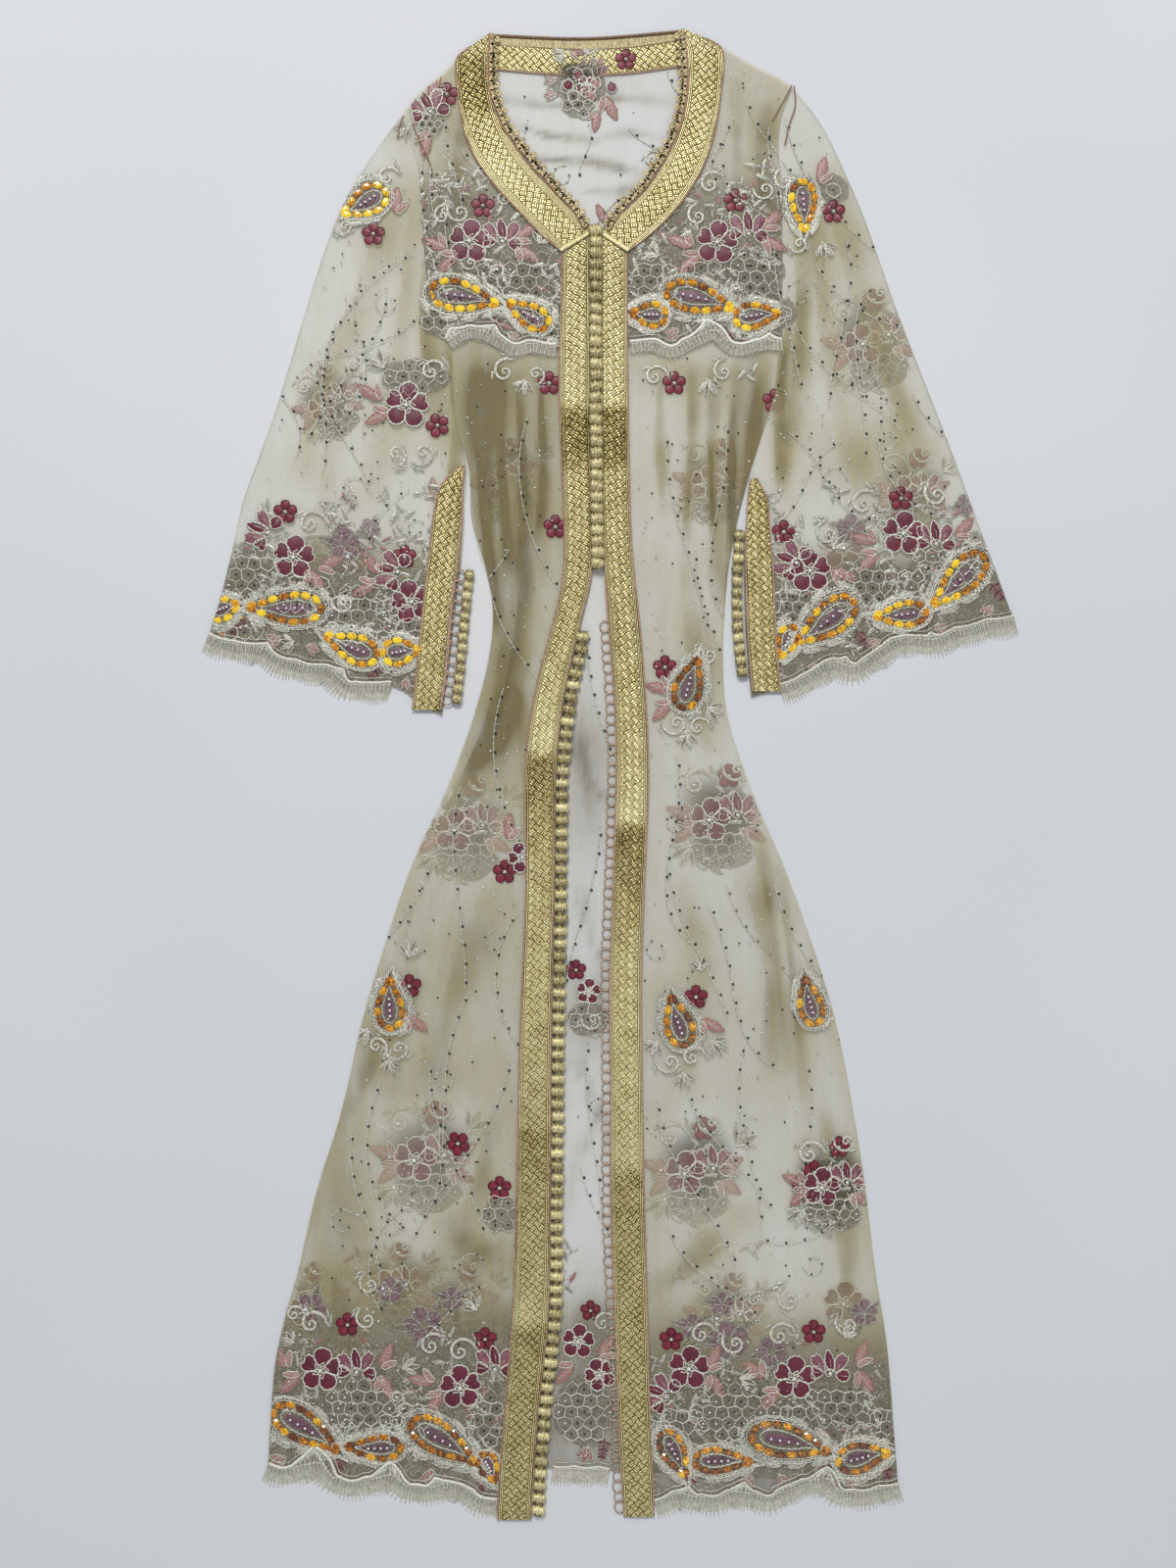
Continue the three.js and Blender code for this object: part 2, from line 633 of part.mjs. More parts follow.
function frontBraidLevel(y) {
  const step = smoothstep(y, bodiceHemLow - braidDrop, bodiceHemLow);
  return lerp(skirtBraidLevel, bodiceBraidLevel, step);
}

function frontBraidGeometry(front) {
  const outer = frontBraidSide(front, 'outer');
  const inner = frontBraidSide(front, 'inner');
  const rings = stripOf(outer, inner, frontBraidCells).map((row) => {
    const undersides = row.map((point) => frontBraidLevel(point.y));
    return ringOfRow(row, undersides, braidWall);
  });
  return solidFromRings(rings);
}

function frontBraidSide(front, side) {
  const [top, ...rest] = columnOf(front.edge, side);
  return edgeCurve([{ x: top.x, y: mitreTop[side] }, ...rest]);
}

function neckBraidGeometry(front) {
  const strip = stripOf(edgeCurve(front.neckOuter), edgeCurve(front.neck), neckBraidCells);
  return wallOn(strip, bodiceBraidLevel, null, braidWall);
}

function cuffBraidGeometry(sleeve) {
  const apart = sleeve.outwards * armholeGap;
  const outer = edgeCurve(movedBy(columnOf(sleeve.braid, 'outer'), apart));
  const inner = edgeCurve(movedBy(columnOf(sleeve.braid, 'inner'), apart));
  return wallOn(stripOf(outer, inner, cuffBraidCells), cuffBraidLevel, null, braidWall);
}

const bandUpper = [
  { x: -113, y: 708 }, { x: -60, y: 705 }, { x: -22, y: 704 }, { x: 20, y: 706 }, { x: 68, y: 713 },
];
const bandLower = [
  { x: -114, y: 685 }, { x: -60, y: 680 }, { x: -22, y: 679 }, { x: 20, y: 681 }, { x: 70, y: 688 },
];

function backBandGeometry() {
  const strip = stripOf(edgeCurve(bandUpper), edgeCurve(bandLower), bandCells);
  return wallOn(strip, backLevel + netWall + seamGap, null, braidWall);
}

add('back', backGeometry(), netLook);
add('back_neck_band', backBandGeometry(), braidLook);
for (const [name, front] of Object.entries(fronts)) {
  add(`bodice_${name}`, bodiceGeometry(front), netLook);
  add(`skirt_${name}`, skirtGeometry(front), netLook);
  add(`braid_neck_${name}`, neckBraidGeometry(front), braidLook);
  add(`braid_front_${name}`, frontBraidGeometry(front), braidLook);
}
for (const [name, sleeve] of Object.entries(sleeves)) {
  add(`sleeve_${name}`, sleeveGeometry(sleeve), netLook);
  add(`braid_cuff_${name}`, cuffBraidGeometry(sleeve), braidLook);
}

// Neck edging, buttons and loops

const onBodiceBraid = bodiceBraidLevel + braidWall + seamGap;
const picots = {
  pitch: picotPitch, start: -2, depth: 5.6, waist: 1.4, level: onBodiceBraid, height: 2.4,
};
add('neck_edging_left', scallops(edgeCurve(neckLeft), { ...picots, side: 1 }), knotLook);
add('neck_edging_right', scallops(edgeCurve(neckRight), { ...picots, side: -1 }), knotLook);

const knotShape = { pitch: knotPitch, halfWidth: 6.3, halfHeight: 3.1, neck: 0.35 };
const closedButtons = [{ x: -15, y: 514 }, { x: -14.8, y: 372 }, { x: -13.4, y: 196 }];
const closedKnotDip = 1.2;    // a knot sits this deep between the two braids
add('buttons_closed', knots(edgeCurve(closedButtons), {
  ...knotShape, levelAt: (y) => frontBraidLevel(y) + braidWall - closedKnotDip,
}), knotLook);

// The knots hang beside the left front's edge, over the back
const beside = knotShape.halfWidth + 2 * seamGap;
const openTop = 190;
const frontKnotLine = movedBy(edgeBelow(fronts.left, openTop, 'inner'), beside);
const onBack = () => skirtLevel;
add('buttons_front', knots(edgeCurve(frontKnotLine), { ...knotShape, levelAt: onBack }), knotLook);

const loopShape = { pitch: loopPitch, start: seamGap, depth: 7.8, waist: 2.4, height: 2 };
const frontLoopLine = edgeBelow(fronts.right, openTop, 'inner');
add('loops_front', scallops(edgeCurve(frontLoopLine), {
  ...loopShape, level: skirtLevel, side: -1,
}), cordLook);

const cuffKnot = {
  pitch: cuffKnotPitch, halfWidth: 5, halfHeight: 3, neck: 0.35, levelAt: onBack,
};
const cuffLoopLine = [
  { x: -149, y: 203 }, { x: -153.5, y: 163 }, { x: -159.5, y: 97 }, { x: -164, y: 66 },
];
const besideLoops = loopShape.depth + cuffKnot.halfWidth + seamGap;
add('loops_cuff_left', scallops(edgeCurve(cuffLoopLine), {
  ...loopShape, level: cuffBraidLevel, side: 1,
}), cordLook);
const cuffKnotsLeft = edgeCurve(movedBy(cuffLoopLine, besideLoops));
add('buttons_cuff_left', knots(cuffKnotsLeft, cuffKnot), knotLook);
const cuffKnotsRight = [{ x: 124, y: 242 }, { x: 122, y: 190 }, { x: 123, y: 140 }, { x: 128, y: 92 }];
add('buttons_cuff_right', knots(edgeCurve(cuffKnotsRight), cuffKnot), knotLook);

// Fringes

const strandLength = 19;
const floorClearance = 0.5;
const stripWall = 0.8;
const onSkirt = {
  level: skirtBraidLevel, height: stripWall, length: strandLength, tipLevel: floorClearance,
};
const braidFoot = 29;         // the fringe stops this far from the opening, at the braid's foot

function skirtTrim(front) {
  const foot = front.edge[front.edge.length - 1];
  return edgeCurve(front.skirtHem.filter((row) => Math.abs(row.x - foot.inner) > braidFoot));
}

add('fringe_skirt_left', fringe(skirtTrim(fronts.left), { ...onSkirt, side: -1 }), fringeLook);
add('fringe_skirt_right', fringe(skirtTrim(fronts.right), { ...onSkirt, side: 1 }), fringeLook);

// Of the back hem's fringe only the stretch in the front opening shows
const backTrim = [{ x: -55, y: -667 }, { x: -28, y: -667 }, { x: -1, y: -668 }];
add('fringe_back', fringe(edgeCurve(backTrim), {
  level: backLevel + netWall + seamGap, height: stripWall, length: strandLength,
  tipLevel: floorClearance, side: -1,
}), fringeLook);

const bodiceStrandLength = 15;
const onBodice = {
  level: bodiceBraidLevel, height: stripWall, length: bodiceStrandLength,
  tipLevel: bodiceLevel + seamGap,
};
const bodiceTrimLeft = edgeCurve(bodiceHemLeft.filter((row) => row.x < frontLeft[0].outer));
const bodiceTrimRight = edgeCurve(bodiceHemRight.filter((row) => row.x > frontRight[0].outer));
add('fringe_bodice_left', fringe(bodiceTrimLeft, { ...onBodice, side: -1 }), fringeLook);
add('fringe_bodice_right', fringe(bodiceTrimRight, { ...onBodice, side: 1 }), fringeLook);

const onSleeve = {
  level: cuffBraidLevel, height: stripWall, length: strandLength, tipLevel: floorClearance,
};
const cuffFoot = 28;          // the same at the foot of a cuff braid

function sleeveTrim(sleeve) {
  const inner = sleeve.hem[sleeve.hem.length - 1].x;
  const kept = sleeve.hem.filter((row) => Math.abs(row.x - inner) > cuffFoot);
  return edgeCurve(movedBy(kept, sleeve.outwards * armholeGap));
}

add('fringe_sleeve_left', fringe(sleeveTrim(sleeves.left), { ...onSleeve, side: -1 }), fringeLook);
add('fringe_sleeve_right', fringe(sleeveTrim(sleeves.right), { ...onSleeve, side: 1 }), fringeLook);

// Stand the robe on the middle of its own footprint
const box = new THREE.Box3().setFromObject(robe);
const middle = box.getCenter(new THREE.Vector3());
robe.position.set(-middle.x, -middle.y, -box.min.z);

export default robe;
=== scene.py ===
import math

import bmesh
import bpy
import numpy as np
from mathutils.bvhtree import BVHTree
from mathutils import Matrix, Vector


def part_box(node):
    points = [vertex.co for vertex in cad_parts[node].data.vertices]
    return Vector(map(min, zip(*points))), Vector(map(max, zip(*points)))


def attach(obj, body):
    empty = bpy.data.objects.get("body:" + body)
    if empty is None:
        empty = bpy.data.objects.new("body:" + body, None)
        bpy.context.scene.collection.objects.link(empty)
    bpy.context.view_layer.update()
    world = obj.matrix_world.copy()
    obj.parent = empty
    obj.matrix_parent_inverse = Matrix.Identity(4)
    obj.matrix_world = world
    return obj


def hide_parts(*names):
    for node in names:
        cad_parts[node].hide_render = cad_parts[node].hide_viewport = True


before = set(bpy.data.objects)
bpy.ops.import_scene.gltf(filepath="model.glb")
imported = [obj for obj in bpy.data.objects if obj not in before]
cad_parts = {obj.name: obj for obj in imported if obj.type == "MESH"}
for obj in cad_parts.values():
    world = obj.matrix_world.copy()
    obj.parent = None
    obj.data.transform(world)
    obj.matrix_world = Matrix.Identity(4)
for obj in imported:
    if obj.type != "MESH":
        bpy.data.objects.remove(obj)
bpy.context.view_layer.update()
mm = 0.001
rng = np.random.default_rng(11)
print("frame loaded")


# Nodes: a value is set on its socket, a node or a socket is linked to it
def linear(text):
    values = [int(text[i:i + 2], 16) / 255 for i in (1, 3, 5)]
    return [v / 12.92 if v <= 0.04045 else ((v + 0.055) / 1.055) ** 2.4 for v in values] + [1.0]


# the setting that a single word stands for, by kind of node
mainSetting = {"Math": "operation", "Mix": "data_type", "TexNoise": "noise_dimensions",
               "Attribute": "attribute_name", "UVMap": "uv_map"}


def addNode(tree, kind, settings=None, sockets=None):
    made = tree.nodes.new("ShaderNode" + kind)
    if isinstance(settings, str):
        settings = {mainSetting[kind]: settings}
    for name, value in (settings or {}).items():
        setattr(made, name, value)
    plug(tree, made, sockets or {})
    return made


def plug(tree, made, sockets):
    shown = [s for s in made.inputs if s.enabled]
    for key, value in sockets.items():
        socket = shown[key] if isinstance(key, int) else next(s for s in shown if s.name == key)
        if isinstance(value, bpy.types.Node):
            value = next(o for o in value.outputs if o.enabled)
        if isinstance(value, bpy.types.NodeSocket):
            tree.links.new(value, socket)
        else:
            socket.default_value = value


def newMaterial(name, build, **fixed):
    material = bpy.data.materials.new(name)
    material.use_nodes = True
    tree = material.node_tree
    shader = tree.nodes["Principled BSDF"]
    plug(tree, shader, {key.replace("_", " "): value for key, value in fixed.items()})
    plug(tree, shader, build(tree))
    return material


# Sheer polyester tulle: fine threads with air between them, so it greys what lies under it and
# turns creamier where it is doubled; where it lies densest it is painted dark olive, as painted shade
# in its folds. `weight` is how dense it lies, `greyed` how grey, and `worked` how far stitches cover it.
# Its cell is 1.2 mm in the cloth and is drawn twice that to show.
# streak, cloud and stitch are repeats a metre: 14, 70 and 7 mm
tulle = {"cell": 2.4 * mm, "streak": 70.0, "cloud": 14.0, "stitch": 150.0,
         "pale": "#dfdac4", "cream": "#bab088", "fold": "#766a45", "grey": "#6f6857", "thread": "#c2bdab"}


def netCloth(tree):
    place = addNode(tree, "TexCoord").outputs["Object"]
    weight, greyed, worked = (addNode(tree, "Attribute", name).outputs["Fac"]
                              for name in ("weight", "greyed", "worked"))
    stretch = addNode(tree, "Mapping", {}, {"Vector": place, "Scale": (1.0, 0.22, 1.0)})
    streaks = addNode(tree, "TexNoise", "2D",
                      {"Vector": stretch, "Scale": tulle["streak"], "Detail": 5.0, "Roughness": 0.62})
    cloud = addNode(tree, "TexNoise", "2D", {"Vector": place, "Scale": tulle["cloud"], "Detail": 2.0})
    threads = addNode(tree, "TexVoronoi", {"voronoi_dimensions": "2D", "feature": "DISTANCE_TO_EDGE"},
                      {"Vector": place, "Scale": 1 / tulle["cell"], "Randomness": 0.15})
    # where the border is worked all over, loose pale stitches wander over the greyed net
    wander = addNode(tree, "TexNoise", "2D",
                     {"Vector": place, "Scale": tulle["stitch"], "Detail": 2.0, "Distortion": 1.4})
    wander = addNode(tree, "Math", "SUBTRACT", {0: wander, 1: 0.5})
    wander = addNode(tree, "Math", "ABSOLUTE", {0: wander})
    stitches = addNode(tree, "MapRange", {}, {"Value": wander, "From Min": 0.012, "From Max": 0.034,
                                              "To Min": 0.85, "To Max": 0.0})
    stitches = addNode(tree, "Math", "MULTIPLY", {0: stitches, 1: worked})
    alpha = weight
    for value, low, high, least, most in ((threads, 0.0, 0.35, 1.12, 0.9), (streaks, 0.3, 0.72, 0.74, 1.26),
                                          (cloud, 0.3, 0.7, 0.84, 1.16)):
        share = addNode(tree, "MapRange", {}, {"Value": value, "From Min": low, "From Max": high,
                                               "To Min": least, "To Max": most})
        alpha = addNode(tree, "Math", "MULTIPLY", {0: alpha, 1: share})
    alpha = addNode(tree, "Math", {"operation": "MAXIMUM", "use_clamp": True}, {0: alpha, 1: stitches})
    thin = addNode(tree, "MapRange", {}, {"Value": weight, "From Min": 0.2, "From Max": 0.45})
    # the densest net takes the dark fold colour: painted shade in its folds and crumples
    thick = addNode(tree, "MapRange", {}, {"Value": weight, "From Min": 0.42, "From Max": 0.85})
    shade = linear(tulle["pale"])
    for share, tone in ((thin, "cream"), (thick, "fold"), (greyed, "grey"), (stitches, "thread")):
        shade = addNode(tree, "Mix", "RGBA", {0: share, 1: shade, 2: linear(tulle[tone])})
    bump = addNode(tree, "Bump", {}, {"Height": streaks, "Strength": 0.5, "Distance": 4 * mm})
    return {"Base Color": shade, "Alpha": alpha, "Normal": bump}


# Thread sewn as satin stitch: close parallel threads that shine across their run. The stitches
# follow the shape's own map, and `tint` makes each shape a little lighter or darker
def satinStitch(dark, pale, across=26.0, depth=0.25, grain=0.55):
    def build(tree):
        run = addNode(tree, "UVMap", "run").outputs["UV"]
        place = addNode(tree, "TexCoord").outputs["Object"]
        tint = addNode(tree, "Attribute", "tint").outputs["Fac"]
        lines = addNode(tree, "Mapping", {}, {"Vector": run, "Scale": (across, 0.4, 1.0)})
        stitch = addNode(tree, "TexNoise", "2D", {"Vector": lines, "Scale": 1.0, "Detail": 2.0})
        fleck = addNode(tree, "TexNoise", "2D", {"Vector": place, "Scale": 620.0, "Detail": 1.0})
        both = addNode(tree, "Mix", "FLOAT", {0: 0.5, 1: stitch, 2: fleck})
        share = addNode(tree, "MapRange", {}, {"Value": both, "From Min": 0.5 - grain / 4,
                                               "From Max": 0.5 + grain / 4})
        share = addNode(tree, "Math", "ADD", {0: share, 1: tint})
        share = addNode(tree, "Math", {"operation": "SUBTRACT", "use_clamp": True}, {0: share, 1: 0.5})
        shade = addNode(tree, "Mix", "RGBA", {0: share, 1: linear(dark), 2: linear(pale)})
        bump = addNode(tree, "Bump", {}, {"Height": both, "Strength": 0.6, "Distance": depth * mm})
        return {"Base Color": shade, "Normal": bump}
    return build


# Braid plaited of flat metallised strands at 45 degrees, three threads to a strand, between ribbed
# selvedges. The map runs in millimetres, across and along
braidWeave = {"strand": 5.8, "rib": 1.7, "middle": 11.2, "dark": "#42340e", "mid": "#b49e54", "bright": "#faf1bc"}


def wovenBraid(tree):
    run = addNode(tree, "UVMap", "run").outputs["UV"]
    tint = addNode(tree, "Attribute", "tint").outputs["Fac"]
    size = 1 / braidWeave["strand"]
    turned = addNode(tree, "Mapping", {"vector_type": "POINT"},
                     {"Vector": run, "Rotation": (0, 0, math.radians(45)), "Scale": (size, size, 1.0)})
    parts = addNode(tree, "SeparateXYZ", {}, {0: turned})
    waves, humps, lines = [], [], []
    for axis in (0, 1):
        for turns, kept in ((1, waves), (3, lines)):
            wave = addNode(tree, "Math", "MULTIPLY", {0: parts.outputs[axis], 1: turns * math.pi})
            kept.append(addNode(tree, "Math", "SINE", {0: wave}))
        humps.append(addNode(tree, "Math", "ABSOLUTE", {0: waves[-1]}))
        lines[-1] = addNode(tree, "Math", "ABSOLUTE", {0: lines[-1]})
    over = addNode(tree, "Math", "MULTIPLY", {0: waves[0], 1: waves[1]})
    over = addNode(tree, "Math", "GREATER_THAN", {0: over, 1: 0.0})
    wide = addNode(tree, "Mix", "FLOAT", {0: over, 1: lines[0], 2: lines[1]})
    long = addNode(tree, "Mix", "FLOAT", {0: over, 1: humps[1], 2: humps[0]})
    wide = addNode(tree, "Math", "POWER", {0: wide, 1: 0.6})
    long = addNode(tree, "Math", "POWER", {0: long, 1: 0.36})
    plait = addNode(tree, "Math", "MULTIPLY", {0: wide, 1: long})
    place = addNode(tree, "SeparateXYZ", {}, {0: run})
    aside = addNode(tree, "Math", "ABSOLUTE", {0: place.outputs[0]})
    edge = addNode(tree, "Math", "GREATER_THAN", {0: aside, 1: braidWeave["middle"]})
    rib = addNode(tree, "Math", "MULTIPLY", {0: aside, 1: math.pi / braidWeave["rib"]})
    rib = addNode(tree, "Math", "SINE", {0: rib})
    rib = addNode(tree, "Math", "ABSOLUTE", {0: rib})
    height = addNode(tree, "Mix", "FLOAT", {0: edge, 1: plait, 2: rib})
    paintedGlint = addNode(tree, "TexNoise", "2D", {"Vector": run, "Scale": 0.8, "Detail": 4.0})
    patch = addNode(tree, "TexNoise", "2D", {"Vector": run, "Scale": 0.07, "Detail": 1.0})
    # the weave's colour is painted: raised strands light and the gaps between them dark, as painted light and shade;
    # paintedGlint scatters painted glints, patch slowly shifts the tone, and tint adds the braid's painted light and
    # shade along its length
    level = addNode(tree, "Math", "ADD", {0: tint, 1: -2.54})
    for value, share in ((height, 1.45), (paintedGlint, 2.6), (patch, 0.5)):
        level = addNode(tree, "Math", {"operation": "MULTIPLY_ADD", "use_clamp": value is patch},
                        {0: value, 1: share, 2: level})
    ramp = addNode(tree, "ValToRGB", {}, {"Fac": level})
    stops = ramp.color_ramp.elements
    stops[0].color, stops[1].color = linear(braidWeave["dark"]), linear(braidWeave["bright"])
    stops.new(0.42).color = linear(braidWeave["mid"])
    bump = addNode(tree, "Bump", {}, {"Height": height, "Strength": 0.8, "Distance": 0.7 * mm})
    return {"Base Color": ramp, "Normal": bump}


# Glass stone with a foiled back, amber: its colour is painted in small random spots from deep brown
# to bright yellow, as painted glints of its facets and foil
def foiledGlass(tree):
    tint = addNode(tree, "Attribute", "tint").outputs["Fac"]
    place = addNode(tree, "TexCoord").outputs["Object"]
    deep = addNode(tree, "TexNoise", "2D", {"Vector": place, "Scale": 380.0, "Detail": 1.0})
    share = addNode(tree, "Math", "ADD", {0: deep, 1: tint})
    share = addNode(tree, "MapRange", {}, {"Value": share, "From Min": 0.7, "From Max": 1.5})
    ramp = addNode(tree, "ValToRGB", {}, {"Fac": share})
    stops = ramp.color_ramp.elements
    stops[0].color, stops[1].color = linear("#5e2c03"), linear("#ffdc2e")
    stops.new(0.5).color = linear("#cf820c")
    return {"Base Color": ramp}


# Painted shade under a motif: a dark sheet that thins out to nothing at the patch's edge
def fadingShade(tree):
    out = addNode(tree, "SeparateXYZ", {}, {0: addNode(tree, "UVMap", "run").outputs["UV"]})
    fade = addNode(tree, "MapRange", {"interpolation_type": "SMOOTHSTEP"},
                   {"Value": out.outputs[1], "From Min": 0.25, "From Max": 1.0, "To Min": 0.92, "To Max": 0.0})
    return {"Alpha": fade}


def grainOf(dark, pale, scale, depth=0.2):
    def build(tree):
        place = addNode(tree, "TexCoord").outputs["Object"]
        grain = addNode(tree, "TexNoise", "3D", {"Vector": place, "Scale": scale, "Detail": 3.0})
        share = addNode(tree, "MapRange", {}, {"Value": grain, "From Min": 0.35, "From Max": 0.65})
        shade = addNode(tree, "Mix", "RGBA", {0: share, 1: linear(dark), 2: linear(pale)})
        bump = addNode(tree, "Bump", {}, {"Height": grain, "Strength": 0.4, "Distance": depth * mm})
        return {"Base Color": shade, "Normal": bump}
    return build


looks = {
    "net": newMaterial("polyesterTulleSheer", netCloth, Roughness=0.75, Sheen_Weight=0.15),
    "lining": newMaterial("tulleStitchedGround", grainOf("#5c574a", "#a19a88", 420.0), Roughness=0.7, Alpha=0.5),
    "faded": newMaterial("rayonSatinUnderNet", grainOf("#6b4c54", "#a08289", 300.0), Roughness=0.6, Alpha=0.62),
    "haze": newMaterial("paintedShadeUnderMotif", fadingShade, Roughness=0.8, Base_Color=linear("#5a5444")),
    "veil": newMaterial("fringeTapeKnitted", grainOf("#bfbaa3", "#e9e5d4", 300.0), Roughness=0.7, Alpha=0.55),
    "braid": newMaterial("metallisedThreadPlaited", wovenBraid, Roughness=0.36, Metallic=0.5),
    "piping": newMaterial("rayonCordPiped", satinStitch("#86634c", "#c3a188", 2.0), Roughness=0.55),
    "edge": newMaterial("netEdgeRolledBrown", satinStitch("#5d452f", "#93755a", 2.0), Roughness=0.7),
    "knot": newMaterial("metallisedThreadKnotted", satinStitch("#5b4a1b", "#f0e4ae", 9.0, 0.6, 0.8),
                        Roughness=0.5, Metallic=0.35),
    "facing": newMaterial("metallisedTwillFacing", satinStitch("#85764c", "#c6b98c", 4.0, 0.3),
                          Roughness=0.55, Metallic=0.15),
    "picot": newMaterial("metallisedThreadTatted", satinStitch("#6a4f2e", "#e3cf9c", 9.0, 0.6),
                         Roughness=0.42, Metallic=0.4),
    "loop": newMaterial("copperCordTwisted", satinStitch("#765846", "#dcc5aa", 3.0, 0.5),
                        Roughness=0.42, Metallic=0.3),
    "burgundy": newMaterial("rayonSatinBurgundy", satinStitch("#3c0818", "#761f3a"), Roughness=0.5),
    "crimson": newMaterial("rayonSatinCrimson", satinStitch("#4c0416", "#8e1736"), Roughness=0.45),
    "dusk": newMaterial("rayonSatinDuskyRose", satinStitch("#5c2838", "#97626d"), Roughness=0.5),
    "rose": newMaterial("rayonSatinSalmon", satinStitch("#855c55", "#b98f86"), Roughness=0.48),
    "mauve": newMaterial("rayonSatinMauve", satinStitch("#40232f", "#7f5b69"), Roughness=0.5),
    "silver": newMaterial("silverThreadCorded", satinStitch("#8a897c", "#efede0", 3.0, 0.5),
                          Roughness=0.4, Metallic=0.15),
    "satin": newMaterial("rayonSatinWhite", satinStitch("#a5a390", "#f7f5ea", 40.0, 0.35), Roughness=0.4),
    "stone": newMaterial("foiledGlassAmber", foiledGlass, Roughness=0.08, Coat_Weight=0.6),
    "pearl": newMaterial("glassBeadPearled", grainOf("#c9c8c4", "#ffffff", 900.0), Roughness=0.12, Coat_Weight=0.5),
    "sequin": newMaterial("sequinSmokedPolyester", grainOf("#252a29", "#565c58", 700.0),
                          Roughness=0.25, Metallic=0.5),
    "fringe": newMaterial("viscoseFringeKnitted", satinStitch("#bab7a3", "#f0eee1", 3.0, 0.2),
                          Roughness=0.6, Alpha=0.85),
}
print("materials made")


# Shapes: points of unit grids, bent to each stitched shape and gathered into one mesh a piece
grids = {}


def gridOf(columns, rows):
    if (columns, rows) not in grids:
        made = bmesh.new()
        bmesh.ops.create_grid(made, x_segments=columns, y_segments=rows, size=0.5)
        unit = np.array([(v.co.x + 0.5, v.co.y + 0.5) for v in made.verts])
        faces = np.array([[v.index for v in f.verts] for f in made.faces])
        grids[columns, rows] = (unit, faces)
        made.free()
    return grids[columns, rows]


def run(points, steps):
    # a smooth curve through the points, or through rows of points
    points = np.asarray(points, float)
    flat = points.reshape(len(points), -1)
    p = np.concatenate([[2 * flat[0] - flat[1]], flat, [2 * flat[-1] - flat[-2]]])
    t = (np.arange(steps) / steps)[:, None, None]
    a, b, c, d = p[:-3], p[1:-2], p[2:-1], p[3:]
    curve = 0.5 * (2 * b + (c - a) * t + (2 * a - 5 * b + 4 * c - d) * t ** 2 + (3 * b - a - 3 * c + d) * t ** 3)
    curve = curve.transpose(1, 0, 2).reshape(-1, flat.shape[1])
    return np.concatenate([curve, flat[-1:]]).reshape((-1,) + points.shape[1:])


def ring(points, steps):
    # a smooth closed outline: the first point isn't repeated at its end
    points = np.asarray(points, float)
    around = np.concatenate([points[-2:], points, points[:3]])
    return run(around, steps)[2 * steps:(2 + len(points)) * steps]


def reachOf(points):
    # how far along its line each point lies
    return np.concatenate([[0], np.cumsum(np.linalg.norm(np.diff(points, axis=0), axis=1))])


def waysOf(line):
    way = np.gradient(line[:, :2], axis=0)
    return way / np.linalg.norm(way, axis=1, keepdims=True)


def facingUp(points, faces):
    a, b, c = points[faces[0, :3]]
    return faces if np.cross(b - a, c - a)[2] > 0 else faces[:, ::-1]


def along(points, spacing):
    # points at one spacing along a polyline
    points = np.asarray(points, float)
    reach = reachOf(points)
    count = max(2, int(round(reach[-1] / spacing)) + 1)
    at = np.linspace(0, reach[-1], count)
    return np.stack([np.interp(at, reach, points[:, i]) for i in range(points.shape[1])], axis=1)


class Sewing:
    # stitched shapes in millimetres, their heights counted from the cloth beneath
    def __init__(self):
        self.points, self.faces, self.looks, self.runs, self.tints, self.count = [], [], [], [], [], 0

    def add(self, points, faces, look, unit, tint=0.5):
        a, b, c, d = (points[faces[:, i]] for i in range(4))
        out = (np.cross(c - a, d - b) * ((a + b + c + d) / 4 - points.mean(0))).sum()
        if out < 0:
            faces = faces[:, ::-1]
        self.points.append(points)
        self.faces.append(faces + self.count)
        self.looks += [look] * len(faces)
        self.runs.append(unit)
        self.tints.append(np.full(len(points), tint + rng.uniform(-0.12, 0.12)))
        self.count += len(points)


def moved(points, x=0.0, y=0.0, turn=0.0, size=1.0):
    c, s = math.cos(math.radians(turn)) * size, math.sin(math.radians(turn)) * size
    points = np.asarray(points, float)
    shown = points.copy()
    shown[:, 0] = points[:, 0] * c - points[:, 1] * s + x
    shown[:, 1] = points[:, 0] * s + points[:, 1] * c + y
    return shown


def offset(left, up, *place):
    # one point, moved as the shape about it is
    return moved([(left, up)], *place)[0]


def lobed(wide, deep, count, waves, lobes, x=0.0, y=0.0):
    # a wavy closed outline, never the same at two places
    return np.array([(math.cos(a) * wide * (1 + waves[0] * math.sin(5 * a + x)),
                      math.sin(a) * deep * (1 + waves[1] * math.sin(lobes * a + y)))
                     for a in np.linspace(0, 2 * math.pi, count, endpoint=False)])


def outlineOf(sewing, outline, look="silver", width=2.0, height=1.35, tint=0.75, jag=0.3):
    # a couched outline whose stitches stand out a little on both sides
    around = np.concatenate([outline, outline[:1]])
    length = np.linalg.norm(np.diff(around, axis=0), axis=1).sum()
    path = along(around, length / max(8, int(length / 2.1) // 2 * 2))[:-1]
    way = np.roll(path, -1, 0) - np.roll(path, 1, 0)
    way /= np.maximum(np.linalg.norm(way, axis=1, keepdims=True), 1e-9)
    swing = jag * (-1.0) ** np.arange(len(path)) + rng.uniform(-jag, jag, len(path)) * 0.6
    path = path + np.stack([-way[:, 1], way[:, 0]], axis=1) * swing[:, None]
    cord(sewing, path, look, width, height, closed=True, tint=tint)


